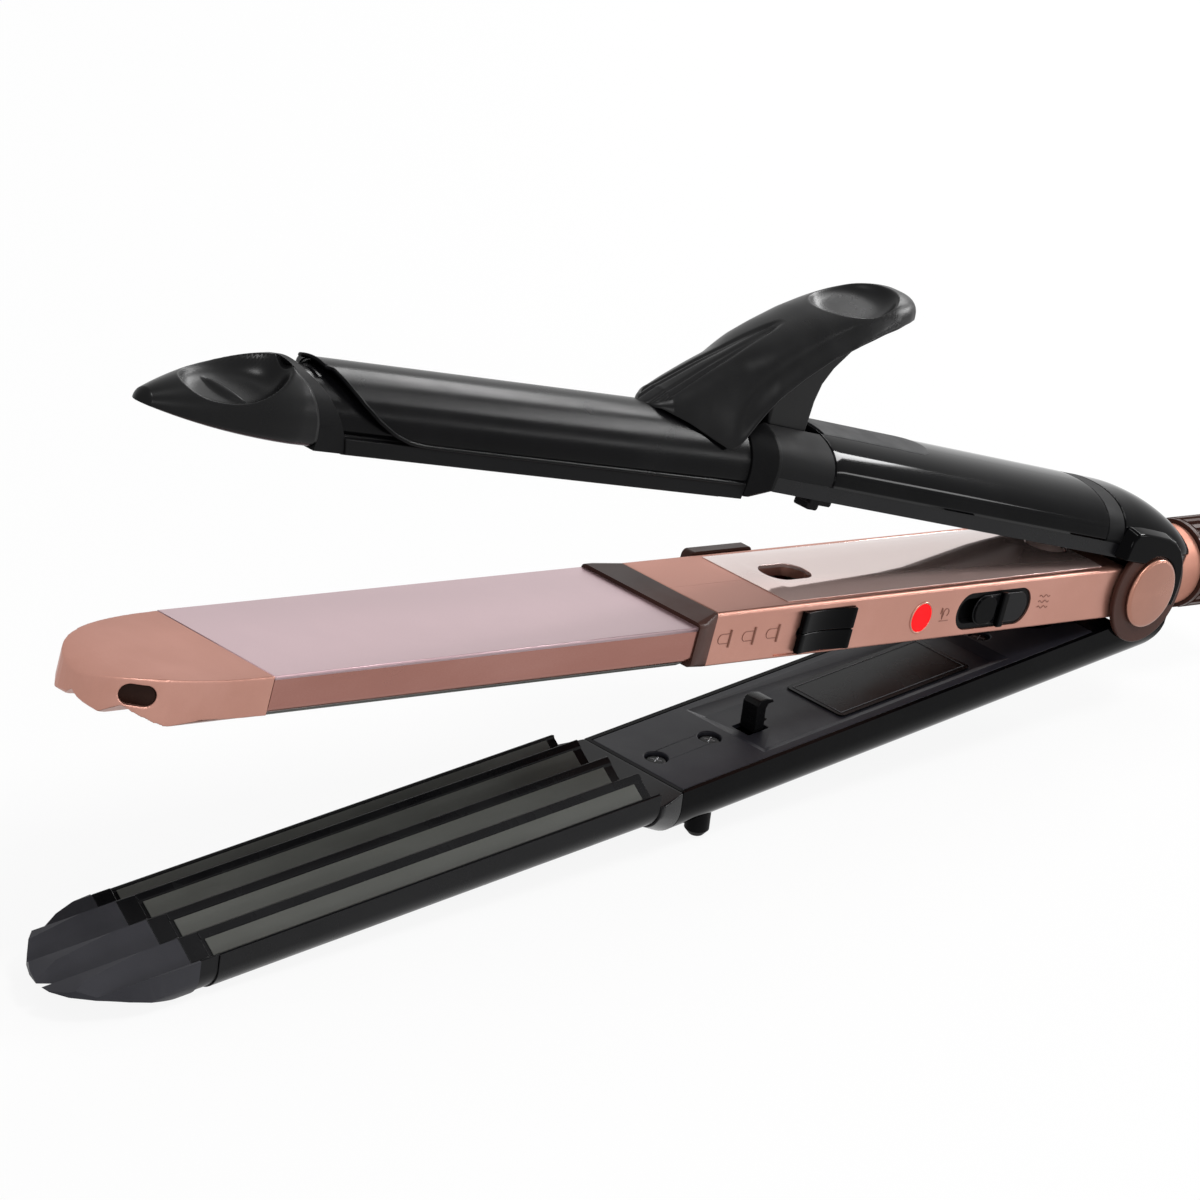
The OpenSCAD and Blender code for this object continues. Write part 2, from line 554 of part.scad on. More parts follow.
module upper_shell_bottom() color(black_matte) on_upper_handle() difference() {
    intersection() {
        union() {
            along_x(-130, 30) translate([-upper_hw, 5.3]) square([2 * upper_hw, seam_z - 5.33]);
            // Skirt that closes the round rear end behind the pin
            up_z(-0.4, 6) difference() {
                handle_plan(0.2);
                handle_plan(2.6);
                translate([-200, -20]) square([208.5, 40]);
            }
            // Two ears that hang from the shell and turn on the pin
            both_sides() across_y(upper_ear_in, upper_ear_out) union() {
                circle(ear_r);
                translate([-ear_r, 0]) square([2 * ear_r, 8]);
            }
        }
        up_z(-10, 30) handle_plan(0.2);
        // The rear end follows the upper shell's round profile
        across_y(-20, 20) union() {
            handle_side(-10, 17, 0.2);
            translate([-131, -10]) square([20, 30]);
        }
    }
    rod_y(0, 0, pin_d / 2 + run_gap, -20, 20);
    // Room over the deck, the dome and the hub
    up_z(5, 7) translate([-114, -11.4]) square([104.5, 22.8]);
    // Pocket under the lever's root
    up_z(7.5, 10) translate([-129, -web_hw - 0.5]) square([19, 2 * web_hw + 1]);
    translate([dome_x, 0, 4]) cylinder(r = 5.2, h = 8);
    // Notch through which the tail ring's neck passes
    translate([2, -5.75, -10]) cube([40, 11.5, 17.4]);
    // Seats of the hook's base and of the two screws
    up_z(6.9, 9) translate([-106.1, -5.1]) square([10.2, 10.2]);
    for (x = [-88, -40]) translate([x, 0, 0]) {
        cylinder(r = 2.1, h = 8.02);
        cylinder(r = 1.15, h = 10);
    }
}

module upper_hook() color(black_matte) on_upper_handle() union() {
    // Narrow stem with a wide head and a small nose below it
    across_y(-2.2, 2.2) translate([-104.5, 2.4]) square([6.2, 4.6]);
    across_y(-2.9, 2.9) round_rect(-104.2, 2.2, -97.6, 3.6, 0.5);
    across_y(-1.6, 1.6) round_rect(-103, 0.8, -99.4, 3, 0.6);
    up_z(7.02, 8.15) translate([-106, -5]) square([10, 10]);
}
module upper_screws() color(steel) on_upper_handle() for (x = [-88, -40]) {
    translate([x, 0, 7.02]) cylinder(r = 2, h = 1);
    translate([x, 0, 8]) cylinder(r = 1.1, h = 6);
}

// Height of the clamp's straight lower edge
clamp_low = 11.4;
module clamp_skin(r0, r1) difference() {
    translate([0, clamp_z]) circle(r1, $fn = 96);
    translate([0, clamp_z]) circle(r0, $fn = 96);
    translate([-20, -10]) square([40, clamp_low + 10]);
}
// Side view of the part of the clamp that its S-shaped front edge leaves
module clamp_side() polygon([[-252.5, 22.4], [-250, 22.1], [-249.3, 21.6], [-246.8, 19.4], [-244, 17.3],
    [-239.8, 14.9], [-235, 12.9], [-230.5, 11.8], [-226, clamp_low + 0.05], [-134.6, clamp_low - 0.1],
    [-134.6, 24], [-252.5, 24]]);
module curl_clamp() color(black_gloss) on_upper() intersection() {
    along_x(-262, -134.6) clamp_skin(clamp_r - 1.1, clamp_r);
    across_y(-20, 20) clamp_side();
}
// Side view of the lever: the saddle on the clamp and the finger rest behind it
lever_side = [
    [-160.4, 21.6], [-157, 24.2], [-151, 27.8], [-146, 30.8], [-141, 33.5], [-135, 36.9], [-129, 40],
    [-122, 43.3], [-116, 45.7], [-109, 48], [-103, 49.4], [-97, 50], [-94, 49.3], [-92.5, 47.4],
    [-93.2, 45.6], [-96, 44.9], [-100.6, 43.7], [-108, 40.9], [-114, 38], [-118, 35.6], [-122.5, 32],
    [-127.8, 27.5], [-130, 24.8], [-134, 21], [-139.2, 17.2], [-146, 15]];
// Side view of the web that turns in the collar's slot
web_side = [
    [-129.5, 26.5], [-118, 36], [-108, 41], [-106, 38.6], [-110.4, 36.3], [-113.8, 33.8], [-115.8, 30.8],
    [-116.3, 27.4], [-115.9, 23.8], [-115.6, 19], [-116.4, 15.2], [-121, 14.1], [-124.3, 14.9], [-127.3, 18]];
// Half plan of the lever from its front point to the round finger end
lever_plan = concat([[-160.4, 0.5], [-157, 4.4], [-149, 6.9], [-139.2, 8.8], [-128, 9.1], [-112, 8.9]],
    oval(-101, 0, 8.6, 8.6, 85, 10, 8));
// Rounded top of the lever along a line that climbs at an angle
module lever_crown(climb, z) rotate([0, -climb, 0]) along_x(-220, 0) union() {
    intersection() {
        translate([0, z - 10.6]) circle(10.6);
        translate([-9.1, z - 10.6]) square([18.2, 11]);
    }
    translate([-9.1, z - 70]) square([18.2, 65]);
}
module clamp_lever() color(black_matte) on_upper() difference() {
    union() {
        difference() {
            intersection() {
                across_y(-12, 12) polygon(lever_side);
                up_z(0, 60) polygon(concat(lever_plan, [for (i = [len(lever_plan) - 1:-1:0])
                    [lever_plan[i][0], -lever_plan[i][1]]]));
                lever_crown(28.8, 97.3);
                lever_crown(19, 81);
                lever_crown(8, 63.6);
            }
            // Seat on the round clamp, and the hollow behind it
            along_x(-170, -134.5) translate([0, clamp_z]) circle(clamp_r + 0.02, $fn = 96);
            along_x(-134.52, -100) translate([0, clamp_z + 3]) circle(clamp_r - 1.4);
        }
        across_y(-web_hw, web_hw) polygon(web_side);
    }
    rod_y(lever_x, lever_z, lever_pin_r + run_gap, -20, 20);
    rod_y(lever_x, lever_z, 3.3, -1.6, 1.6);
    // Thumb dish
    translate([-106, -3, 60.5]) sphere(r = 12.6, $fn = 96);
}

/* [Hidden] */
// Lower arm: wave plate, tip, handle and feet

low_hw = 14.4;
low_handle_hw = 13;
module low_section(hw, z0, z1, r) intersection() {
    translate([-hw, z0]) square([2 * hw, z1 - z0]);
    union() {
        translate([-hw, z0 + r]) square([2 * hw, z1 - z0]);
        translate([-hw + r, z0]) square([2 * (hw - r), r + 1]);
        for (y = [-hw + r, hw - r]) translate([y, z0 + r]) circle(r);
    }
}
module wave_plate_lower() color(grey_green) on_lower_plate()
    along_x(-plate_front - 0.6, -plate_rear) polygon(concat([[-14, -8.6]],
        wave_line(14, -crest_z - wave_depth / 2, 1), [[14, -8.6]]));
module lower_plate_frame() color(black_matte) on_lower_plate() difference() {
    along_x(-plate_front - 0.6, -plate_rear) low_section(low_hw, low_bottom, -crest_z - 1.8, 5);
    along_x(-plate_front - 2, -plate_rear + 1) translate([-14.04, -8.62]) square([28.08, 10]);
    along_x(-plate_front + wall, -plate_rear + 1) low_section(low_hw - wall - 0.6, low_bottom + wall, -8, 4);
}
module heater_lower() color(ceramic) on_lower_plate() for (i = [0:2])
    along_x(-plate_front + 8 + i * 35, -plate_front + 34 + i * 35) round_rect(-9, -10.8, 9, -8.65, 0.4);
// Side view of the lower tip: level ridges on top, a long curve underneath
low_tip_end = 286.5;
// Plan of the nose: fuller on the near side
low_nose = [[-262, 14.1], [-267, 13.2], [-271.5, 11.7], [-275.5, 9.7], [-279, 7], [-282.2, 3.6],
    [-284.7, 0], [-286.2, -3.5], [-286.2, -6.8], [-284.2, -9.6], [-280, -11.9],
    [-273.5, -13.6], [-267, -14.3], [-262, -14.4]];
module low_tip_side(x1) polygon(concat([[x1, low_bottom - 1], [x1, -3.9], [-268, -crest_z - 0.1], [-280, -5.2]],
    [[-low_tip_end, -6.8]], [for (i = [1:10]) let (u = i / 10)
        [-low_tip_end + (low_tip_end + x1) * u, -7 + (low_bottom + 7) * pow(u, 1.3)]]));
module low_tip_block(x1) difference() {
    intersection() {
        across_y(-16, 16) low_tip_side(x1);
        up_z(-30, 10) polygon(concat(low_nose, [[x1, -low_hw], [x1, low_hw]]));
        along_x(-300, x1) low_section(low_hw, low_bottom, 0, 5);
    }
    // Stepped ridges that carry the waves on
    along_x(-300, x1 + 1) polygon(concat([[-20, 5], [-20, -crest_z - 1.8]],
        wave_line(14, -crest_z - wave_depth / 2, 1), [[20, -crest_z - 1.8], [20, 5]]));
}
module lower_tip() color(black_matte) on_lower_plate() low_tip_block(insert_x0);
module tip_insert() color(black_soft) on_lower_plate() intersection() {
    low_tip_block(-plate_front - 0.62);
    along_x(insert_x0 + 0.02, -plate_front - 0.62) low_section(low_hw - 0.2, low_bottom + 0.2, 0, 5);
}
module lower_collar() color(black_matte) on_lower() difference() {
    hull() {
        rotate([0, lower_kink, 0]) along_x(-plate_rear + 0.02, -plate_rear + 1.5)
            low_section(low_hw + 0.2, low_bottom - 0.4, -crest_z - 4.4, 5);
        along_x(-collar_rear - 0.6, -collar_rear - 0.02)
            low_section(low_handle_hw, -lower_base, -panel_z, 6.9);
    }
    along_x(-150, -130) round_rect(-8, -13, 8, -9, 0.6);
}
label_x0 = -83;
label_x1 = -45;
panel_hw = 12;
screw_pos = [-127.3, -112.6, -34.2];
module lower_shell() color(black_gloss) on_lower() difference() {
    union() {
        intersection() {
            along_x(-collar_rear, 12) low_section(low_handle_hw, -lower_base, -panel_z, 6.9);
            across_y(-20, 20) polygon(concat([[-collar_rear, -panel_z], [-collar_rear, -30], [0, -30]],
                oval(-1, -panel_z - 0.8, 10.4, 9.7, 270, 360, 10), [[9.4, -panel_z]]));
        }
        // Two ears that stand up round the pin
        both_sides() across_y(lower_ear_in, lower_ear_out) union() {
            circle(ear_r);
            translate([-ear_r, -panel_z - 3]) square([2 * ear_r, panel_z + 3]);
        }
    }
    along_x(-collar_rear + 2, 7) low_section(low_handle_hw - wall, -lower_base + wall, -panel_z + 2, 5.4);
    along_x(-collar_rear + 0.85, -12.95) translate([-panel_hw - 0.03, -panel_z - 2.23])
        square([2 * panel_hw + 0.06, 5]);
    rod_y(0, 0, pin_d / 2 + run_gap, -20, 20);
    rod_y(0, 0, ear_r + 0.35, -lower_ear_in + 0.02, lower_ear_in - 0.02);
    both_sides() translate([-foot_x, 8, -foot_z]) cylinder(r = 2.41, h = foot_z - 8);
    for (x = screw_pos) translate([x, 0, -lower_base + 1]) cylinder(r = 1.12, h = 10);
}
module inner_panel() color(black_soft) on_lower() difference() {
    up_z(-panel_z - 2.2, -panel_z - 0.02) translate([-132.6, -panel_hw]) square([119.6, 2 * panel_hw]);
    // Shallow bevelled recess round the hook and the label
    hull() {
        up_z(-panel_z - 1.2, -panel_z - 1.1) translate([-105.6, -7.8]) square([66, 15.6]);
        up_z(-panel_z, -panel_z + 0.1) translate([-108.3, -10.3]) square([71.4, 20.6]);
    }
    up_z(-20, 0) translate([-103.9, -2.25]) square([5.8, 4.5]);
    for (x = screw_pos) translate([x, 0, -10]) cylinder(r = 1.2, h = 10);
    for (x = screw_pos) translate([x, 0, -panel_z - 1.3]) cylinder(r = 2.3, h = 10);
    translate([dome_x, 0, -10]) cylinder(r = 5.2, h = 10);
}
module label_plate() color(black_soft) on_lower()
    up_z(-panel_z - 1.18, -panel_z - 0.85) round_rect(label_x0, -7.4, label_x1, 7.4, 1);
module lower_hook() color(black_matte) on_lower() union() {
    // Post with a barb near its top and a small rib below, both on the tail side
    across_y(-2.1, 2.1) polygon([[-103.6, -10.5], [-103.6, -1.7], [-102.8, -0.9], [-99.4, -0.9], [-97.5, -1.7],
        [-97.2, -2.3], [-99, -2.2], [-99, -5.3], [-98.2, -5.8], [-99, -5.9], [-99, -10.5]]);
    up_z(-10.5, -panel_z - 2.24) translate([-106.5, -5]) square([11, 10]);
}
module feet() color(black_matte) on_lower() both_sides() translate([-foot_x, 8, 0]) mirror([0, 0, 1]) {
    translate([0, 0, 14]) cylinder(r = 2.4, h = foot_z - 14 - 1.2);
    translate([0, 0, foot_z - 1.2]) cylinder(r1 = 2.4, r2 = foot_end_r, h = 1.2);
}
module lower_screws() color(steel) on_lower() for (x = screw_pos) translate([x, 0, 0]) {
    translate([0, 0, -panel_z - 1.28]) cylinder(r = 2.15, h = 0.7);
    translate([0, 0, -14.6]) cylinder(r = 1.1, h = 14.6 - panel_z - 1.28);
}

middle_tip();
plate_frame();
flat_plate_middle();
wave_plate_middle();
heater_flat();
heater_wave();
heat_collar();
middle_shell_near();
middle_shell_far();
handle_deck();
stop_domes();
led_lens();
switch_housing();
circuit_board();
shell_screws();
hinge_pin();
hinge_caps();
hinge_rings();
torsion_springs();
tail_ring();
lock_slider_near();
lock_slider_far();
lock_yoke();
switch_thumb();
cord_gland();
upper_tip();
tip_band();
barrel();
barrel_base();
flat_plate_upper();
heater_barrel();
barrel_collar();
slotted_collar();
upper_shell_top();
upper_shell_bottom();
soft_pad();
upper_band();
upper_hook();
upper_screws();
clamp_pin();
clamp_spring();
curl_clamp();
clamp_lever();
lower_tip();
tip_insert();
wave_plate_lower();
lower_plate_frame();
heater_lower();
lower_collar();
lower_shell();
inner_panel();
label_plate();
lower_hook();
feet();
lower_screws();
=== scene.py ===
# %% [markdown]
# # Dressing a three-arm hair styler
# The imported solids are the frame: they fix every size and every joint. This lesson gives them their
# looks, one piece or finish at a time. Tables are in millimetres, Blender works in metres.

# %% Load the frame
import math
import bmesh
import bpy
import numpy as np
from mathutils import Matrix, Vector


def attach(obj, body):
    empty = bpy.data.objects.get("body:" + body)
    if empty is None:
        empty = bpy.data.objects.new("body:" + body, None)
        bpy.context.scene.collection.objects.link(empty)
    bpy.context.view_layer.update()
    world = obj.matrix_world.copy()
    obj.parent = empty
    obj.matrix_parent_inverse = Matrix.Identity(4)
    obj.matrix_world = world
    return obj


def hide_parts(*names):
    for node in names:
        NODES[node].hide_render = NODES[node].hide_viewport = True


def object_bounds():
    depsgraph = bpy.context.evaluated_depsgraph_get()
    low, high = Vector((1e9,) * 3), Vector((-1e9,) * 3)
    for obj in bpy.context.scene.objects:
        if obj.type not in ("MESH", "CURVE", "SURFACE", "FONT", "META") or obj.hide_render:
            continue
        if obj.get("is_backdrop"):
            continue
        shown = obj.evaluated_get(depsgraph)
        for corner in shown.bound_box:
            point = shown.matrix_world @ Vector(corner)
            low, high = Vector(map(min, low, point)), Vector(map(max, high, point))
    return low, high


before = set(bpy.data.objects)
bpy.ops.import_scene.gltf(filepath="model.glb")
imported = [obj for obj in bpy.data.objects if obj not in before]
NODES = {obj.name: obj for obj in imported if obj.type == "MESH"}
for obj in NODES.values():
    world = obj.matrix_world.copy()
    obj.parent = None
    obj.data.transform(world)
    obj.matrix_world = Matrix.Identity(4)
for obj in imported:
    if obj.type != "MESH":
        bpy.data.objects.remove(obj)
CAD_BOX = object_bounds()

# %% [markdown]
# The arms turn on one pin, and each stands at its own angle. A piece is easier to draw on a level arm
# with the pin at the origin, so each arm has a matrix that carries such points into the frame. Turning
# whole objects would do it too, but points that are already in place leave nothing to go wrong later.

# %% Places of the arms
HINGE = (119.4, 29.80526)            # the pin's x and z, in mm
# Degrees. A positive tilt lifts the tip
TILT = {"lower": -4.474838, "lower_plate": -3.474838, "middle": 6.355162, "upper": 14.155162,
        "handle": 16.815162, "pin": 0.0}
NOSE = (-285.9, 0, 0)                # the middle arm's foremost point


def place(arm):
    """Matrix from an arm's own millimetres to the frame's metres."""
    turned = Matrix.Rotation(math.radians(TILT[arm]), 4, "Y")
    return Matrix.Scale(0.001, 4) @ Matrix.Translation((HINGE[0], 0, HINGE[1])) @ turned


print("nose of the middle arm in the frame:", [round(v, 4) for v in place("middle") @ Vector(NOSE)])

# %% [markdown]
# The camera stands where the photograph was taken. Its place was solved from the long edges of the
# plates and handles. A long lens far away shows little perspective, as product pictures do.

# %% Camera
SENSOR_MM = 36.0
FRAME_PX, FOCAL_PX = 1200, 6500      # the frame's width and the focal length, in pixels
CAMERA_AT = (-0.879917, -0.702578, 0.503797)
CAMERA_TURN = (67.30809, -9.62304, -46.36344)

lens = bpy.data.cameras.new("camera")
lens.sensor_width = SENSOR_MM
lens.lens = SENSOR_MM * FOCAL_PX / FRAME_PX
lens.clip_start = 0.05
lens.clip_end = 50.0
camera = bpy.data.objects.new("camera", lens)
bpy.context.scene.collection.objects.link(camera)
camera.location = CAMERA_AT
camera.rotation_euler = [math.radians(a) for a in CAMERA_TURN]
bpy.context.scene.camera = camera
pin_at = Vector((HINGE[0], 0, HINGE[1])) / 1000
print("camera distance to the hinge:", round((camera.location - pin_at).length, 3), "m")

# %% [markdown]
# Colours are written as sRGB hex codes, as a picture program shows them, while a shader works in
# linear light, so one function converts them. Another adds a node and fills or links its sockets by
# name. With it a material reads as a short list of its nodes.

# %% Colour and node helpers
def lin(code):
    """sRGB hex colour as linear light, with an alpha of 1."""
    rgb = [int(code[i:i + 2], 16) / 255 for i in (0, 2, 4)]
    return tuple(c / 12.92 if c <= 0.04045 else ((c + 0.055) / 1.055) ** 2.4 for c in rgb) + (1.0,)


def add(tree, kind, settings=None, **sockets):
    """Adds a node, sets its properties, and links or fills its inputs by name, or by number as i0, i1."""
    node = tree.nodes.new("ShaderNode" + kind)
    for key, value in (settings or {}).items():
        setattr(node, key, value)
    for key, value in sockets.items():
        numbered = key[0] == "i" and key[1:].isdigit()
        socket = node.inputs[int(key[1:]) if numbered else key.replace("_", " ")]
        if isinstance(value, bpy.types.NodeSocket):
            tree.links.new(value, socket)
        else:
            socket.default_value = value
    return node


print("b58374 in linear light:", [round(c, 3) for c in lin("b58374")])

# %% [markdown]
# Every finish on this tool is a thin skin: moulded plastic, paint, anodising or a ceramic coat, so they
# share one build. Large soft blotches shift colour and roughness a little, as uneven spraying and
# handling do. A fine grain gives the relief of the mould or the spray. Image textures could carry both,
# but noise in object coordinates needs no unwrapped mesh and has a real size in millimetres. Plastics,
# lacquers and glazes have an IOR of about 1.5, the default. This studio is white all round, so on dark
# finishes the specular level comes down until they look as dark as they are.

# %% The skin finish
def finish(name, code, rough, metal=0.0, spec=0.5, grain=0.5, depth=0.01, blotch=12.0, vary=0.06,
           rvary=0.08, coat=0.0, coat_rough=0.1, stretch=(1, 1, 1), code2=None):
    """A skin material. grain and blotch are pattern sizes and depth is the relief's height, in mm.
    vary and rvary are how much the colour and the roughness change over the blotches."""
    material = bpy.data.materials.new(name)
    material.use_nodes = True
    tree = material.node_tree
    shader = tree.nodes["Principled BSDF"]
    where = add(tree, "TexCoord").outputs["Object"]
    where = add(tree, "Mapping", Vector=where, Scale=stretch).outputs["Vector"]
    big = add(tree, "TexNoise", Vector=where, Scale=1000 / blotch, Detail=4.0, Roughness=0.6).outputs["Fac"]
    fine = add(tree, "TexNoise", Vector=where, Scale=1000 / grain, Detail=3.0, Roughness=0.55).outputs["Fac"]
    base = lin(code)
    dark = tuple(c * (1 - vary) for c in base[:3]) + (1,)
    light = lin(code2) if code2 else tuple(min(1, c * (1 + 2.2 * vary) + 0.002) for c in base[:3]) + (1,)
    mixed = add(tree, "Math", {"operation": "MULTIPLY_ADD"}, i0=fine, i1=0.35, i2=big).outputs[0]
    ramp = add(tree, "ValToRGB", Fac=mixed)
    stops = ramp.color_ramp.elements
    stops[0].position, stops[0].color = 0.35, dark
    stops[1].position, stops[1].color = 0.95, light
    stops.new(0.62).color = base
    tree.links.new(ramp.outputs["Color"], shader.inputs["Base Color"])
    gloss = add(tree, "MapRange", Value=big, From_Min=0.3, From_Max=0.7,
                To_Min=max(0.02, rough - rvary), To_Max=min(1, rough + rvary))
    tree.links.new(gloss.outputs["Result"], shader.inputs["Roughness"])
    relief = add(tree, "Bump", Strength=1.0, Distance=depth / 1000, Height=fine)
    tree.links.new(relief.outputs["Normal"], shader.inputs["Normal"])
    shader.inputs["Metallic"].default_value = metal
    shader.inputs["Specular IOR Level"].default_value = spec
    shader.inputs["Coat Weight"].default_value = coat
    shader.inputs["Coat Roughness"].default_value = coat_rough
    return material


MAT = {}

# %% [markdown]
# The middle arm is rose gold in four kinds. They could share one colour, but the eye tells paint from
# metal by how wide the gleam is and whether a second, sharper one lies over it. So each gets its own
# roughness and its own clear coat. Metals keep the default IOR. Their specular tint gives the warmer
# edge that copper-coloured metals have at a flat angle.

# %% Rose gold finishes
# Metallic paint on moulded ABS, sprayed with aluminium flakes under a clear coat. It gives a broad
# metal sheen with a soft second gleam. Flakes of 0.03 mm are drawn at 0.14 mm so that they show.
MAT["rose_paint"] = finish("rose gold metallic paint", "b58374", 0.36, 0.8, grain=0.14, depth=0.004,
                           blotch=18, vary=0.06, rvary=0.05, coat=0.35, coat_rough=0.2, code2="bf8e80")
# Extruded aluminium, anodised. The pattern is longer along the arm, as extrusion lines are, and the
# sealed oxide gleams like a thin coat. Die lines of 0.05 mm are drawn at 0.2 mm.
MAT["rose_frame"] = finish("rose gold anodised aluminium", "966459", 0.3, 0.9, grain=0.2, depth=0.002,
                           blotch=14, vary=0.06, rvary=0.05, coat=0.5, coat_rough=0.18,
                           stretch=(0.3, 1, 1), code2="a07066")
# Lacquer polished over a metallised deck: nearly a mirror, so it shows the dark arm above it.
MAT["rose_gloss"] = finish("rose gold lacquer, polished", "e8c8c0", 0.07, 0.55, grain=0.2, depth=0.0005,
                           blotch=25, vary=0.03, rvary=0.02, coat=0.9, coat_rough=0.04, code2="eed2cb")
# The same paint without a clear coat, on the tail's ring: one wide, quiet gleam.
MAT["rose_satin"] = finish("rose gold satin paint", "a97767", 0.5, 0.7, grain=0.2, depth=0.003, blotch=16,
                           vary=0.05, rvary=0.04, code2="b48473")
for key in ("rose_paint", "rose_frame", "rose_satin"):
    MAT[key].node_tree.nodes["Principled BSDF"].inputs["Specular Tint"].default_value = lin("e2bfb6")
# Aluminium caps, turned and anodised. Fine rings from the lathe pull the gleam into a fan, which an
# anisotropic shader gives with tangents that run round the pin.
spun = finish("rose gold anodised cap, spun", "a1705f", 0.3, 0.9, grain=0.2, depth=0.0015, blotch=10,
              vary=0.04, rvary=0.04, coat=0.3, coat_rough=0.2)
spun_shader = spun.node_tree.nodes["Principled BSDF"]
spun_shader.inputs["Anisotropic"].default_value = 0.65
tangent = add(spun.node_tree, "Tangent", {"direction_type": "RADIAL", "axis": "Y"})
spun.node_tree.links.new(tangent.outputs["Tangent"], spun_shader.inputs["Tangent"])
MAT["rose_spun"] = spun
print("rose gold finishes:", len(MAT))

# %% [markdown]
# The plates that touch the hair are aluminium under a ceramic coat, sprayed and baked. A glazed
# surface could be drawn as plain gloss, but these gleam softly and show the metal's tone beneath, so
# the pink one is mostly metallic under a coat, and the grey one is a satin glaze.

# %% Ceramic coats
# Smooth enough for hair to slide: hardly any relief, and colour that stays even over the plate.
MAT["pink_plate"] = finish("pink ceramic coat on aluminium", "bb9ba1", 0.32, 0.75, grain=0.35, depth=0.0001,
                           blotch=30, vary=0.02, rvary=0.02, coat=0.45, coat_rough=0.22, code2="c1a1a7")
# Grey glaze in the wave plates, brushed lengthwise before it was baked, so its pattern is drawn out.
MAT["crimp_grey"] = finish("grey green ceramic coat", "4b4c48", 0.42, spec=0.25, grain=0.3, depth=0.003,
                           blotch=7, stretch=(0.3, 1, 1))
# The barrel and its clamp: black glaze with a soft, long gleam.
MAT["barrel_coat"] = finish("black ceramic coat on aluminium", "040405", 0.25, spec=0.045, grain=0.3,
                            depth=0.001, blotch=16, rvary=0.03)
# Heater blocks: pressed and fired alumina, left raw, so chalky and without gloss.
MAT["ceramic"] = finish("white heater ceramic", "d9d6cc", 0.6, grain=0.4, depth=0.01, blotch=8)
print("with ceramic coats:", len(MAT))

# %% [markdown]
# The rest of the outside is nylon and ABS, moulded in tools whose steel was polished, blasted or
# eroded. Black on black only reads through those differences. Roughness runs from 0.055 for a polished
# tool to 0.5 for a rubbery one, and the grain is that of the tool, 0.2 to 0.35 mm.

# %% Moulded plastics
# Glass-filled nylon for hot places, from a fine eroded tool: soft, wide highlights on the round forms.
MAT["black_matte"] = finish("black heat resistant plastic", "09090a", 0.31, spec=0.13, grain=0.22,
                            depth=0.003, blotch=14)
# The same plastic from a blasted tool: it stays dark from every side.
MAT["black_dull"] = finish("black plastic from a blasted mould", "0d0d0e", 0.48, spec=0.05, grain=0.2,
                           depth=0.003, blotch=14)
# ABS from a stoned tool: a silky sheen.
MAT["black_satin"] = finish("black satin plastic", "0c0c0e", 0.26, spec=0.1, grain=0.3, depth=0.0015,
                            blotch=20)
# ABS from a polished tool: sharp, narrow mirror lines, with the slight waviness of shrinkage.
MAT["piano_black"] = finish("piano black plastic", "030304", 0.055, spec=0.035, grain=0.8, depth=0.0002,
                            blotch=30, rvary=0.015)
# Rubber moulded over the handle: dry, a little lighter, no clear highlight.
MAT["soft_grey"] = finish("dark grey soft touch rubber", "19191b", 0.5, spec=0.1, grain=0.25, depth=0.006,
                          blotch=10)
# The panel inside the lower handle, from a grained tool: an even grey haze.
MAT["panel_grey"] = finish("fine grained dark panel", "202026", 0.44, spec=0.15, grain=0.35, depth=0.01,
                           blotch=15)
# Unpainted nylon of the lower tip, a lighter grey on its facets.
MAT["tip_grey"] = finish("dark moulded tip plastic", "2b2b30", 0.42, spec=0.14, grain=0.25, depth=0.003,
                         blotch=15)
# Brown nylon of the heat collar, the rings and the cord gland.
MAT["brown"] = finish("dark brown satin plastic", "3d2620", 0.36, spec=0.1, grain=0.3, depth=0.003, blotch=12)
print("with plastics:", len(MAT))

# %% [markdown]
# Small things need their own finishes as well, because the eye goes to them first: screws, the lamp
# and the symbols. The lamp could be a bare red plastic. It glows a little, since it is drawn lit.

# %% Small finishes
# Spring steel, drawn into wire or rolled and brushed: a true metal, stretched along the brushing.
MAT["steel"] = finish("brushed spring steel", "8f9194", 0.3, 1.0, grain=0.2, depth=0.002, blotch=6,
                      stretch=(0.2, 1, 1))
# Solder mask on a glass fibre board, with the weave just felt at 0.6 mm.
MAT["board"] = finish("green circuit board", "1c5a34", 0.4, grain=0.6, depth=0.01, blotch=9)
# Dyed polycarbonate with a frosted face, lit from behind.
MAT["led"] = finish("red lamp lens", "e00008", 0.4, spec=0.1, grain=1.2, depth=0.002, blotch=4)
lamp_shader = MAT["led"].node_tree.nodes["Principled BSDF"]
lamp_shader.inputs["Emission Color"].default_value = lin("ff0008")
lamp_shader.inputs["Emission Strength"].default_value = 0.55
# Lines of the engraved symbols: darker and dry. The darker brown is painted shade along the relief's edges.
MAT["symbol_painted_shade"] = finish("brown symbol line, painted shade", "7d5548", 0.5, spec=0.2, grain=0.2, depth=0.002, blotch=3)
# Painted shade: a dark brown plug deep inside the vent, where hardly any light comes.
MAT["vent_painted_shade"] = finish("painted shade inside the vent", "24130d", 0.6, spec=0.1, grain=0.3, depth=0.005,
                          blotch=3)
# Grey ink, pad printed on the satin plate.
MAT["pale_line"] = finish("grey printed line", "565659", 0.5, spec=0.2, grain=0.2, depth=0.002, blotch=3)
print("materials:", len(MAT))

# %% [markdown]
# Most solids already have the right form and keep it. What they lack is an edge: a moulded or machined
# edge is never sharp, and a sharp one catches no light. The solids could be rounded where they are
# drawn, but a bevel modifier rounds them all alike. A weld comes first, so that faces share their
# corners, and weighted normals last, so that flat faces stay flat.

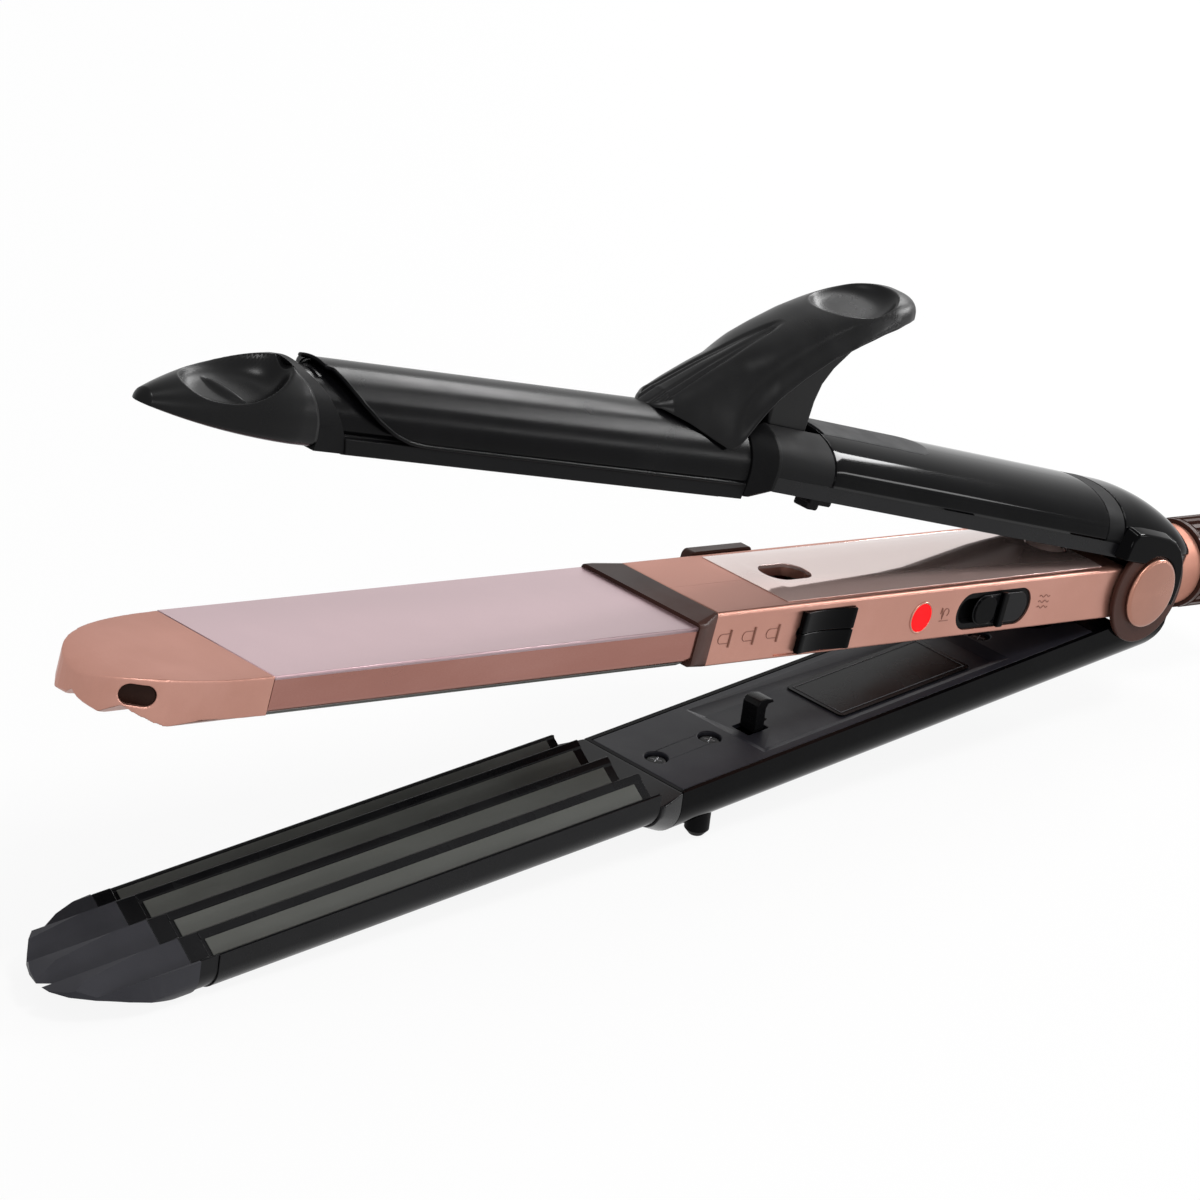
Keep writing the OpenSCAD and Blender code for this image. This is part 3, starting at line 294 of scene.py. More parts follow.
# %% Finish the solids that stay
FINISH = {
    # Middle arm
    "middle_tip": "rose_paint", "plate_frame": "rose_frame", "flat_plate_middle": "pink_plate",
    "wave_plate_middle": "crimp_grey", "heater_flat": "ceramic", "heater_wave": "ceramic",
    "heat_collar": "brown", "middle_shell_near": "rose_paint", "middle_shell_far": "rose_paint",
    "handle_deck": "rose_gloss", "stop_domes": "rose_gloss", "led_lens": "led",
    "switch_housing": "black_dull", "circuit_board": "board", "shell_screws": "steel",
    "hinge_pin": "steel", "hinge_caps": "rose_paint", "hinge_rings": "brown",
    "torsion_springs": "steel", "tail_ring": "rose_satin", "lock_slider_near": "black_satin",
    "lock_slider_far": "brown", "lock_yoke": "steel", "switch_thumb": "black_satin", "cord_gland": "brown",
    # Upper arm
    "upper_tip": "black_matte", "tip_band": "black_dull", "barrel": "barrel_coat",
    "barrel_base": "black_dull", "flat_plate_upper": "crimp_grey", "heater_barrel": "ceramic",
    "barrel_collar": "black_dull", "slotted_collar": "black_dull", "upper_shell_top": "piano_black",
    "upper_shell_bottom": "black_satin", "soft_pad": "soft_grey", "upper_band": "black_dull",
    "upper_hook": "black_dull", "upper_screws": "steel", "clamp_pin": "steel", "clamp_spring": "steel",
    "curl_clamp": "barrel_coat", "clamp_lever": "black_matte",
    # Lower arm
    "lower_tip": "tip_grey", "tip_insert": "black_satin", "wave_plate_lower": "crimp_grey",
    "lower_plate_frame": "black_satin", "heater_lower": "ceramic", "lower_collar": "black_satin",
    "lower_shell": "piano_black", "inner_panel": "panel_grey", "label_plate": "black_satin",
    "lower_hook": "black_dull", "feet": "black_dull", "lower_screws": "black_satin",
}
EDGE_MM = 0.3                        # usual radius of a moulded edge
EDGES_MM = {"hinge_caps": 0, "stop_domes": 0, "torsion_springs": 0, "clamp_spring": 0, "curl_clamp": 0,
            "barrel": 0, "circuit_board": 0.05, "flat_plate_middle": 0.08, "shell_screws": 0.1,
            "upper_screws": 0.1, "cord_gland": 0.12, "hinge_pin": 0.2, "handle_deck": 0.25,
            "lower_shell": 0.35, "plate_frame": 0.5, "heat_collar": 0.5, "middle_tip": 0.6, "lower_tip": 0.6}
SHARP = math.radians(32)             # edges that turn more than this are rounded


def soften(ob, edge_mm):
    """Smooth shading, a rounded edge where edge_mm isn't 0, and weighted normals."""
    for face in ob.data.polygons:
        face.use_smooth = True
    if edge_mm:
        bevel = ob.modifiers.new("round", "BEVEL")
        bevel.width = edge_mm / 1000
        bevel.segments = 3
        bevel.limit_method = "ANGLE"
        bevel.angle_limit = SHARP
    ob.modifiers.new("normals", "WEIGHTED_NORMAL").keep_sharp = True


for name, solid in NODES.items():
    solid.data.materials.clear()
    solid.data.materials.append(MAT[FINISH[name]])
    solid.modifiers.new("weld", "WELD").merge_threshold = 1e-6
    soften(solid, EDGES_MM.get(name, EDGE_MM))
print("finished solids:", len(NODES))

# %% [markdown]
# Some forms need more than the solid shows. Each such piece is drawn in its arm's own millimetres,
# rides on the solid's body, and hides the solid that it stands for, if any. Most are lofts: a row of
# rings with the same number of points, joined by quads. Thin lines are curves with a round section.

# %% Makers of pieces
def dress(ob, body, mat, stands_for=(), edge_mm=0.0):
    """Gives a piece its material, its edges and its body."""
    ob.data.materials.append(MAT[mat])
    if ob.type == "MESH":
        soften(ob, edge_mm)
    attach(ob, body)
    for node in stands_for:
        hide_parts(node)
    return ob


def piece(name, arm, body, mat, verts, faces, stands_for=(), edge_mm=0.0):
    """Mesh piece from points in an arm's millimetres."""
    spot = place(arm)
    mesh = bpy.data.meshes.new(name)
    mesh.from_pydata([spot @ Vector(v) for v in verts], [], faces)
    mesh.validate()
    bm = bmesh.new()
    bm.from_mesh(mesh)
    bmesh.ops.remove_doubles(bm, verts=bm.verts, dist=2e-6)
    bmesh.ops.recalc_face_normals(bm, faces=bm.faces)
    bm.to_mesh(mesh)
    bm.free()
    ob = bpy.data.objects.new(name, mesh)
    bpy.context.scene.collection.objects.link(ob)
    return dress(ob, body, mat, stands_for, edge_mm)


def loft(rings):
    """Closed solid through rings with the same number of points, as points and faces."""
    n = len(rings[0])
    last = (len(rings) - 1) * n
    faces = [(i + k, i + (k + 1) % n, i + n + (k + 1) % n, i + n + k)
             for i in range(0, last, n) for k in range(n)]
    caps = [tuple(range(n))[::-1], tuple(range(last, last + n))]
    return [p for ring in rings for p in ring], faces + caps


def tube(name, arm, body, mat, points, radius, closed=False):
    """Thin round line through points in an arm's millimetres."""
    curve = bpy.data.curves.new(name, "CURVE")
    curve.dimensions = "3D"
    curve.bevel_depth = radius / 1000
    curve.bevel_resolution = 3
    curve.use_fill_caps = True
    spline = curve.splines.new("POLY")
    spline.points.add(len(points) - 1)
    spline.use_cyclic_u = closed
    for target, point in zip(spline.points, points):
        target.co = (*(place(arm) @ Vector(point)), 1)
    ob = bpy.data.objects.new(name, curve)
    bpy.context.scene.collection.objects.link(ob)
    return dress(ob, body, mat)


print("makers: piece, loft, tube")

# %% [markdown]
# The tip of the curling arm is one drawn-out form: round on top, nearly flat below, and ending in a
# blunt point. It could be sculpted, but its rear ring has to fit the round barrel along a slanted seam.
# A loft keeps that ring exact and lets the rings behind it shrink by a formula.

# %% Upper tip, its rings
TIP_NOSE_X = -290.5
TIP_R = 9.3
AXIS_X, AXIS_Z = -256.0, 12.6        # a point on the barrel's axis
AXIS_SLOPE = math.tan(math.radians(2.4))
BLUNT_R = 1.7                        # the point is rounded, so that it can't scratch
BELLY_Z, BELLY_RISE = 8.4, 2.6       # the flat underside, and how far it rises to the nose
# Where the tip begins to narrow and its belly to rise, and over what length
NARROW_FROM, NARROW_OVER = 259, 31.5
RISE_FROM, RISE_OVER = 251, 39.5
SQUARENESS = 0.36                    # below 1 the lower half is boxy instead of round
# The seam against the band, as x and z from the belly to the top
TIP_SEAM = [(-254.1, 10.4), (-254.8, 13.1), (-256.1, 16.4), (-257.3, 18.8), (-259.0, 20.6), (-259.5, 21.9)]
SEAM_X, SEAM_Z = zip(*TIP_SEAM)
RING_POINTS, RINGS = 132, 111


def tip_size(x):
    """Radius of the tip and height of its axis and belly at x."""
    u = max(0.0, (-x - NARROW_FROM) / NARROW_OVER)
    blunt = BLUNT_R * min(1.0, max(0.0, (u - 0.66) / 0.3))
    r = math.hypot(TIP_R * max(0.0, 1 - min(1, u) ** 1.4) ** 0.62, blunt)
    r *= math.sqrt(max(0.0, 1 - max(0.0, (u - 0.955) / 0.0451) ** 2))
    axis = AXIS_Z - (AXIS_X - x) * AXIS_SLOPE
    rise = BELLY_RISE * max(0.0, (-x - RISE_FROM) / RISE_OVER) ** 2.6
    return r, axis, min(axis, BELLY_Z + rise)


def tip_ring(v):
    """Ring of the tip at v, from 0 at the seam to 1 at the nose."""
    ring = []
    for k in range(RING_POINTS):
        c, s = math.cos(2 * math.pi * k / RING_POINTS), math.sin(2 * math.pi * k / RING_POINTS)
        z = AXIS_Z
        for _ in range(5):           # the seam's x depends on z and z on x: a few rounds settle both
            seam = np.interp(z, SEAM_Z, SEAM_X)
            x = seam + (TIP_NOSE_X - seam) * (1 - (1 - v) ** 2)
            r, axis, belly = tip_size(x)
            if s >= 0:
                y = r * c
                z = axis + r * s
            else:
                y = r * math.copysign(abs(c) ** SQUARENESS, c)
                z = axis - (axis - belly) * abs(s) ** SQUARENESS
        ring.append((x, y, z))
    return ring


tip_points, tip_faces = loft([tip_ring(i / (RINGS - 1)) for i in range(RINGS)])
print("tip:", len(tip_points), "points")

# %% [markdown]
# An oval dish for a fingertip is pressed into the tip's back, with a leaf-shaped ridge across it. A
# boolean cut would leave a hard rim. Lowering the points to a bowl, with a blend where both heights
# are close, gives the soft rim that a mould has.

# %% Upper tip, its dish and leaf
DISH_AT, DISH_HALF = (-271.6, -1.6), (10.9, 6.0)
LEAF_AT, LEAF_WAY = (-272.7, -2.3), (0.33, -0.94)
LEAF_HALF_LENGTH, LEAF_HALF_WIDTH, LEAF_HEIGHT = 4.6, 1.5, 0.95


def softer(a, b, k):
    """The lower of two heights, with a rounded change over k mm."""
    share = np.clip(0.5 + 0.5 * (b - a) / k, 0, 1)
    return b + (a - b) * share - k * share * (1 - share)


px, py, pz = np.array(tip_points).T
dx, dy = px - DISH_AT[0], py - DISH_AT[1]
across = (dx / DISH_HALF[0]) ** 2 + (dy / DISH_HALF[1]) ** 2
bowl = 15.0 + 0.13 * dx + 0.22 * dy + 0.3 * across + 1.6 * np.minimum(across, 3) ** 4
pz = np.where(pz > 13, softer(pz, bowl, 0.7), pz)
dx, dy = px - LEAF_AT[0], py - LEAF_AT[1]
along = (dx * LEAF_WAY[0] + dy * LEAF_WAY[1]) / LEAF_HALF_LENGTH
width = LEAF_HALF_WIDTH * np.maximum(0.02, 1 - along ** 2)
aside = (dy * LEAF_WAY[0] - dx * LEAF_WAY[1]) / width
on_leaf = (np.abs(along) < 1) & (np.abs(aside) < 1) & (pz > 14)
swell = np.maximum(0, 1 - aside ** 2) * np.maximum(0, 1 - along ** 2) ** 0.5
pz += np.where(on_leaf, LEAF_HEIGHT * swell, 0)
upper_tip = piece("upper_tip.shaped", "upper", "upper_arm", "black_matte",
                  np.column_stack((px, py, pz)).tolist(), tip_faces, ["upper_tip"])
print("upper tip:", len(upper_tip.data.polygons), "faces")

# %% [markdown]
# The clamp is a bent sheet whose edge is rolled into a bead, so that it doesn't crease the hair. The
# bead could be part of the sheet's mesh, but a curve that follows the edge needs only the edge's
# points, and its round section is exact. A running mean takes the corners out of the points.

# %% Clamp bead
CLAMP_R, CLAMP_Z = 9.5, 12.6
BEAD_R = 0.42
CLAMP_FRONT_X = -249.9
# The near edge as x and z, from the lever to the top of the front
CLAMP_EDGE = [(-134.7, 11.35), (-200, 11.4), (-226, 11.45), (-230.5, 11.8), (-235, 12.9), (-239.8, 14.9),
              (-244, 17.3), (-246.8, 19.4), (-249.3, 21.5)]


def rounded(values, rounds):
    """Values after a short running mean, with the ends kept."""
    for _ in range(rounds):
        values[1:-1] = (values[:-2] + 2 * values[1:-1] + values[2:]) / 4
    return values


steps = np.linspace(0, len(CLAMP_EDGE) - 1, 97)
edge_x = rounded(np.interp(steps, range(len(CLAMP_EDGE)), [x for x, _ in CLAMP_EDGE]), 6)
edge_z = rounded(np.interp(steps, range(len(CLAMP_EDGE)), [z for _, z in CLAMP_EDGE]), 6)
near_edge = [(x, -math.sqrt(max(0, CLAMP_R ** 2 - (z - CLAMP_Z) ** 2)), z) for x, z in zip(edge_x, edge_z)]
front_edge = [(CLAMP_FRONT_X - math.cos(a), CLAMP_R * math.sin(a), CLAMP_Z + CLAMP_R * math.cos(a))
              for a in np.linspace(-0.34, 0.34, 9)]
bead_points = near_edge + front_edge + [(x, -y, z) for x, y, z in near_edge[::-1]]
tube("clamp_bead", "upper", "clamp", "barrel_coat", bead_points, BEAD_R)
print("bead points:", len(bead_points))

# %% [markdown]
# The clamp's lever is one soft moulding: a saddle that hugs the clamp in front and a finger rest behind,
# with a narrow spine on its back. Three lines say its form: the back's height, the half width and the
# rim's height along the arm. A loft through sections that follow them has no straight part, as the real
# form has none, which an extrusion could not give.

# %% Clamp lever, its three lines
LEVER_BACK = [(-160.6, 21.7), (-157, 24.2), (-151, 27.8), (-146, 30.8), (-141, 33.5), (-135, 36.9),
              (-129, 40), (-122, 43.3), (-116, 45.7), (-109, 48), (-103, 49.4), (-98, 49.9), (-95, 49.5),
              (-93.2, 48.5), (-92.5, 47.2)]
LEVER_HALF = [(-160.6, 0.2), (-159, 2.6), (-156, 4.7), (-151, 6.5), (-145.6, 7.8), (-140, 8.8), (-134, 9.1),
              (-124, 9.0), (-112, 8.8), (-104, 8.3), (-99, 7.2), (-95.5, 5.2), (-93.4, 2.8), (-92.5, 0.3)]
LEVER_RIM = [(-160.6, 21.4), (-158, 21.9), (-152, 20.5), (-145.6, 18.4), (-141.6, 17.3), (-140.2, 18.0),
             (-138.5, 21.4), (-136.5, 24.8), (-134, 28.1), (-128.8, 32.4), (-122.2, 36.9), (-115, 40.4),
             (-108, 43.1), (-101, 45.2), (-96, 46.2), (-92.5, 46.9)]
LEVER_FRONT, LEVER_END = -160.6, -92.5
# Sections stand closer together at both ends, where the form turns quickest
lever_x = np.concatenate([np.linspace(LEVER_FRONT, -156, 24)[:-1], np.linspace(-156, -97, 148)[:-1],
                          LEVER_END - 4.5 * np.cos(np.linspace(0, math.pi / 2, 26))])
back, half, rim = [rounded(np.interp(lever_x, *zip(*line)), rounds)
                   for line, rounds in ((LEVER_BACK, 14), (LEVER_HALF, 10), (LEVER_RIM, 3))]
print("lever sections:", len(lever_x))

# %% [markdown]
# Each section has an upper part, the arch of the back, and a lower part, the hollow that sits on the
# clamp. A crease runs along the side of the finger rest, and fine grooves set off the spine. They are
# small bumps of the arch, each a bell curve, so they fade out by themselves.

# %% Clamp lever, lofted
ARCH, HOLLOW = 141, 29               # points of a section's upper and lower part
SADDLE_END = -134.6                  # in front of this the lever lies on the clamp
CREASE_RIDGE, CREASE_VALLEY = 1.0, 0.75
GROOVE = 0.42


def bell(x, middle, width):
    return math.exp(-((x - middle) / width) ** 2)


def lever_ring(x, zt, w, ze):
    """Section of the lever at x from its top zt, half width w and rim height ze."""
    ring = []
    crease = min(1, max(0, (x + 148) / 9)) * min(1, max(0, (-100 - x) / 16))
    run = min(1, max(0, (-127.5 - x) / 30))
    for k in range(ARCH):
        c, s = math.cos(math.pi * k / (ARCH - 1)), math.sin(math.pi * k / (ARCH - 1))
        out = crease * (CREASE_RIDGE * bell(s, 0, 0.2) - CREASE_VALLEY * bell(s, 0.42, 0.2))
        y = math.copysign(max(0.0, w * abs(c) ** 0.82 + out * min(1, 3 * abs(c))), c)
        z = ze + (zt - ze) * s ** 0.9
        if run > 0 and s > 0.7:
            spine = 2.7 * run ** 0.6
            grooves = bell(abs(y), spine, 0.38) + 0.7 * bell(abs(y), spine * 0.5, 0.32)
            z -= GROOVE * min(1, run * 9) * grooves
        ring.append((x, y, z))
    for k in range(1, HOLLOW + 1):
        y = -w + 2 * w * k / (HOLLOW + 1)
        low = ze + min(1.6, 0.35 * (zt - ze)) * (1 - (y / w) ** 2)
        if x < SADDLE_END:
            low = max(low, CLAMP_Z + math.sqrt(max(0, (CLAMP_R + 0.03) ** 2 - y * y)))
        ring.append((x, y, min(zt - 0.2, low)))
    return ring


lever_points, lever_faces = loft([lever_ring(*q) for q in zip(lever_x, back, half, rim)])
px, py, pz = np.array(lever_points).T
# The thumb dish is pressed in as the tip's dish was, but only into the arch
across = ((px + 109.6) / 9.6) ** 2 + (py / 7.0) ** 2
bowl = 45.2 + 0.25 * (px + 109) + 0.15 * py + 1.7 * np.minimum(across, 3) ** 4
on_arch = np.tile(np.arange(ARCH + HOLLOW) < ARCH, len(lever_x)) & (pz > 43)
pz = np.where(on_arch, softer(pz, bowl, 0.6), pz)
lever = piece("clamp_lever.shaped", "upper", "clamp", "black_matte", np.column_stack((px, py, pz)).tolist(),
              lever_faces, ["clamp_lever"])
print("lever:", len(lever.data.polygons), "faces")

# %% [markdown]
# Below the lever a web carries the pin. It is a flat plate with a curved rear edge, so an outline drawn
# once and given a thickness is enough, with a bevel for its moulded edge.

# %% Lever web
WEB = [(-129.5, 30), (-118, 38.5), (-108, 42.6), (-106.5, 41.4), (-110.4, 37.6), (-113.8, 34),
       (-115.6, 30.8), (-116.1, 27.4), (-115.9, 23.8), (-115.6, 19), (-116.4, 15.2), (-121, 14.1),
       (-124.3, 14.9), (-127.3, 18)]


def slab_y(outline, y0, y1):
    """Plate from an outline in x and z, between two values of y."""
    return loft([[(x, y, z) for x, z in outline] for y in (y0, y1)])


web = piece("lever_web", "upper", "clamp", "black_matte", *slab_y(WEB, -5, 5), ["clamp_lever"], 0.7)
print("web:", len(web.data.polygons), "faces")

# %% [markdown]
# The upper handle is a polished shell, and its mirror lines show every facet. It is drawn as one smooth
# skin: the same rounded section all along, narrowing to a round end. Subdivision could smooth the
# solid, but it would also pull the section in. A matte band sits in a shallow groove of the skin.

# %% Upper handle and its band
SKIN_HALF, SKIN_RISE, SKIN_SEAM_Z = 12.6, 8.8, 8.2
SIDES_X, SIDES_R = 6, 15.5           # the sides close in from here, over this length
DOME_X, DOME_R = -7, 28.5            # the top comes down from here, over this length
DOME_FOOT_Z, DOME_RISE = 1, 16
ROUNDNESS = 0.889                    # 1 would be an ellipse, less is fuller at the corners
BAND = (-19.0, -13.0)
BAND_DEPTH = 0.9
SKIN_FRONT = -113.0


def skin(x, inset):
    """Ring of the handle's shell at x, set back by inset, closed along its flat seam."""
    w, h = SKIN_HALF - inset, SKIN_RISE - inset
    if x > SIDES_X:
        w *= math.sqrt(max(0, 1 - ((x - SIDES_X) / (SIDES_R - inset)) ** 2))
    if x > DOME_X:
        fall = math.sqrt(max(0, 1 - ((x - DOME_X) / (DOME_R - inset)) ** 2))
        h = DOME_FOOT_Z + (DOME_RISE - inset) * fall - SKIN_SEAM_Z
    ring = []
    for k in range(57):
        c, s = math.cos(math.pi * k / 56), math.sin(math.pi * k / 56)
        y = w * math.copysign(abs(c) ** ROUNDNESS, c)
        ring.append((x, y, SKIN_SEAM_Z + max(0, h) * abs(s) ** ROUNDNESS))
    return ring


end_x = DOME_X + DOME_R * math.sqrt(1 - ((SKIN_SEAM_Z - DOME_FOOT_Z) / DOME_RISE) ** 2)
stations = [(SKIN_FRONT + 0.02, 0.5), (SKIN_FRONT + 0.08, 0.22), (SKIN_FRONT + 0.25, 0.06)]
stations += [(x, 0) for x in np.linspace(SKIN_FRONT + 0.5, BAND[0] - 0.3, 48)]
stations += [(BAND[0] - 0.1, 0.05), (BAND[0], 0.25), (BAND[0], BAND_DEPTH),
             (BAND[1], BAND_DEPTH), (BAND[1], 0.25), (BAND[1] + 0.1, 0.05)]
rear_x = BAND[1] + 0.3
stations += [(rear_x + (end_x - rear_x) * math.sin(a), 0) for a in np.linspace(0, math.pi / 2, 40)]
shell = piece("upper_shell.skin", "handle", "upper_arm", "piano_black",
              *loft([skin(x, i) for x, i in stations]), ["upper_shell_top"])
band_stations = [(BAND[0] + 0.1, 0.8), (BAND[0] + 0.1, 0.2), (BAND[0] + 0.4, 0.03),
                 (BAND[1] - 0.4, 0.03), (BAND[1] - 0.1, 0.2), (BAND[1] - 0.1, 0.8)]
band = piece("upper_band.skin", "handle", "upper_arm", "black_dull",
             *loft([skin(x, i) for x, i in band_stations]), ["upper_band"])
print("handle skin:", len(shell.data.polygons), "band:", len(band.data.polygons), "faces")

# %% [markdown]
# The soft pad is rubber moulded over the front of the handle, a long strip with a round end. It lies
# on the skin, so each of its points is set on the skin's own formula and lifted by a film's thickness.

# %% Soft pad
PAD_FRONT, PAD_END, PAD_HALF = -112.4, -73.5, 5.5
PAD_LIFT, PAD_SINK = 0.16, 0.5
PAD_EDGE = 0.35                      # width over which the pad's rim falls off


def on_skin(x, y, lift):
    """Point over the handle's skin at a plan position."""
    s = (1 - min(1, abs(y) / SKIN_HALF) ** 2.25) ** (1 / 2.25)
    return (x, y, SKIN_SEAM_Z + SKIN_RISE * s + lift)


pad_rings = []
for i in range(61):
    x = PAD_FRONT + (PAD_END - PAD_FRONT) * math.sin(i / 60 * math.pi / 2)
    left = PAD_END - x
    w = PAD_HALF if left > PAD_HALF else math.sqrt(max(0.0001, PAD_HALF ** 2 - (PAD_HALF - left) ** 2))
    ys = [w * math.sin(math.pi * (k / 24 - 0.5)) for k in range(25)]
    top = [on_skin(x, y, PAD_LIFT * min(1, (w - abs(y)) / PAD_EDGE) ** 0.5) for y in ys]
    pad_rings.append(top + [on_skin(x, y, -PAD_SINK) for y in ys[::-1]])
pad = piece("soft_pad.skin", "handle", "upper_arm", "soft_grey", *loft(pad_rings), ["soft_pad"])
print("pad:", len(pad.data.polygons), "faces")

# %% [markdown]
# The nose of the middle arm is painted, and paint rounds every edge alike, also the curved ones that a
# bevel can't follow. So its solid is copied, remeshed into small even faces and smoothed a few times.
# Smoothing shrinks thin parts, so it stays at a few rounds on small faces.

# %% Middle nose
FACE_MM, SMOOTHINGS = 0.22, 4


def moulded(node, arm, body, mat):
    """A copy of a solid with small even faces and soft edges, which stands for it."""
    mesh = NODES[node].data.copy()
    mesh.transform(place(arm).inverted() @ NODES[node].matrix_world)
    ob = bpy.data.objects.new(node + ".moulded", mesh)
    bpy.context.scene.collection.objects.link(ob)
    ob.modifiers.new("weld", "WELD").merge_threshold = 0.001
    remesh = ob.modifiers.new("even", "REMESH")
    remesh.mode = "VOXEL"
    remesh.voxel_size = FACE_MM
    smooth = ob.modifiers.new("soft", "SMOOTH")
    smooth.factor = 0.5
    smooth.iterations = SMOOTHINGS
    done = bpy.data.meshes.new_from_object(ob.evaluated_get(bpy.context.evaluated_depsgraph_get()))
    ob.modifiers.clear()
    ob.data = done
    done.transform(place(arm))
    done.materials.clear()
    return dress(ob, body, mat, [node])


nose = moulded("middle_tip", "middle", "middle_arm", "rose_paint")
print("nose:", len(nose.data.polygons), "faces")

# %% [markdown]
# The nose has a vent for hot air. Its slot is already cut in the solid, but it opens on plain metal
# colour. A dark plug that stands back inside it is painted shade, and gives the depth that the eye expects.

# %% Vent plug
VENT_AT, VENT_TURN = (-279.6, -9.6, 0.4), math.radians(-37)
VENT_STRAIGHT, VENT_R = 1.35, 1.8
VENT_DEPTHS = (1.0, 4.2)


def vent_ring(depth):
    """Outline of the slot at a depth behind the nose's surface."""
    ring = []
    for k in range(40):
        c, s = math.cos(2 * math.pi * k / 40), math.sin(2 * math.pi * k / 40)
        u = VENT_STRAIGHT * math.copysign(1, c) + VENT_R * c
        x = VENT_AT[0] + u * math.cos(VENT_TURN) - depth * math.sin(VENT_TURN)
        y = VENT_AT[1] + u * math.sin(VENT_TURN) + depth * math.cos(VENT_TURN)
        ring.append((x, y, VENT_AT[2] + VENT_R * s))
    return ring


# The plug's dark brown is painted shade inside the slot.
piece("tip_vent_painted_shade", "middle", "middle_arm", "vent_painted_shade", *loft([vent_ring(d) for d in VENT_DEPTHS]))
print("vent plug depths:", VENT_DEPTHS)

# %% [markdown]
# The flat plate is ground, so its edge is nearly sharp. A bevel on the solid would give an uneven
# bright line, because its long faces meet in many small ones. A plate from one profile has a clean edge.

# %% Flat plate
PLATE_X = (-252.68, -141.2)
# Profile as y and z of the near half: three short steps round the edge
PLATE_EDGE = [(-15, 3.21), (-15, 3.78), (-14.95, 3.9), (-14.82, 3.96)]


def along_arm(profile, x0, x1):
    """Bar from a profile in y and z, between two values of x."""
    return loft([[(x, y, z) for y, z in profile] for x in (x0, x1)])


plate_profile = PLATE_EDGE + [(-y, z) for y, z in PLATE_EDGE[::-1]]
piece("flat_plate.top", "middle", "middle_arm", "pink_plate", *along_arm(plate_profile, *PLATE_X),
      ["flat_plate_middle"])
print("plate length:", round(PLATE_X[1] - PLATE_X[0], 1), "mm")

# %% [markdown]
# The lower wave plate shapes the hair between long ridges. Black rails carry the crests and cover the
# slopes that face away from the near side; over those slopes the black is painted shade and painted dark
# reflection. A grey strip is let into each slope that faces the near side. Two materials on one mesh
# could show the same, but strips with a small step at their edges catch the light at that step. So the
# rails are one bar with shallow beds, and each strip is a bar of its own.

# %% Lower wave plate
PITCH, CREST_Z, WAVE_DEPTH, WAVE_HALF, RAIL_BASE_Z = 8.0, -4.36, 3.1, 14.0, -8.6
WAVE_FRONT, WAVE_REAR = -253.3, -141.2
RAIL_WIDTH = 1.15                    # black edge left at each crest
BED_DEPTH = 0.28
STRIP_LOW, STRIP_HIGH = 0.3, 0.1     # the strip's underside and face, below the slope


def wave(y):
    """Height of the wave at y."""
    u = abs(y) / PITCH
    return CREST_Z - WAVE_DEPTH / 2 + (1 - 4 * abs(u - round(u))) * WAVE_DEPTH / 2


# The rails' black over the slopes that face away is painted shade and painted dark reflection.
painted_shade_rail_profile = [(-WAVE_HALF, RAIL_BASE_Z), (-WAVE_HALF, wave(-WAVE_HALF))]
strip_beds = []
for crest in (-8, 0, 8, 16):
    foot = max(-WAVE_HALF, crest - PITCH / 2)
    head = min(crest - RAIL_WIDTH, WAVE_HALF - 0.3)
    painted_shade_rail_profile += [(foot, wave(foot)), (foot + 0.12, wave(foot + 0.12) - BED_DEPTH),
                     (head - 0.1, wave(head - 0.1) - BED_DEPTH), (head, wave(head))]
    strip_beds.append((foot + 0.14, head - 0.12))
    if crest < WAVE_HALF:
        painted_shade_rail_profile.append((crest, wave(crest)))
painted_shade_rail_profile += [(WAVE_HALF, wave(WAVE_HALF)), (WAVE_HALF, RAIL_BASE_Z)]
piece("wave_rails_painted_shade", "lower_plate", "lower_arm", "black_satin",
      *along_arm(painted_shade_rail_profile, WAVE_FRONT, WAVE_REAR), ["wave_plate_lower"], 0.16)
for i, (a, b) in enumerate(strip_beds):
    strip = [(a, wave(a) - STRIP_LOW), (b, wave(b) - STRIP_LOW), (b, wave(b) - STRIP_HIGH),
             (a, wave(a) - STRIP_HIGH)]
    piece("wave_strip.%d" % i, "lower_plate", "lower_arm", "crimp_grey",
          *along_arm(strip, WAVE_FRONT + 0.9, WAVE_REAR - 2.4), (), 0.05)
print("wave strips:", len(strip_beds))

# %% [markdown]
# The lock slider is pushed with a fingertip, so its face is hollowed, and a seam runs along its middle.
# Two halves with a thin gap between them show that seam without cutting anything.

# %% Lock slider
SIDE_Y = -12.8                       # the shell's near side
SLIDER_X, SLIDER_HALF = -100.4, 7.7
SLIDER_PROUD, SLIDER_DISH = 0.85, 0.75


def slider_half(z0, z1):
    """One half of the slider: a plate whose face is hollowed towards its middle."""
    rings = []
    for x in np.linspace(SLIDER_X - SLIDER_HALF, SLIDER_X + SLIDER_HALF, 33):
        dish = SLIDER_DISH * max(0, 1 - ((x - SLIDER_X) / SLIDER_HALF * 1.15) ** 2)
        back_y, face_y = SIDE_Y + 0.25, SIDE_Y - SLIDER_PROUD
        rings.append([(x, back_y, z0), (x, back_y, z1), (x, face_y + dish * 0.85, z1),
                      (x, face_y + dish, (z0 + z1) / 2), (x, face_y + dish * 0.85, z0)])
    return loft(rings)


for tag, z0, z1 in (("low", -4.75, -0.76), ("high", -0.62, 3.6)):
    piece("lock_slider." + tag, "middle", "lock", "piano_black", *slider_half(z0, z1),
          ["lock_slider_near"], 0.3)
print("slider from", SLIDER_X - SLIDER_HALF, "to", SLIDER_X + SLIDER_HALF)

# %% [markdown]
# A ring frames the lamp, and plain symbols mark the positions: three hooks at the lock, a curl by the
# lamp and waves by the switch. On the real shell they are engraved. Engraving could be cut into the
# mesh, but hairlines are finer than its faces. Thin tubes half sunk in the surface read the same and
# stay crisp. Their dark brown is painted shade, the shade along the edges of the relief.

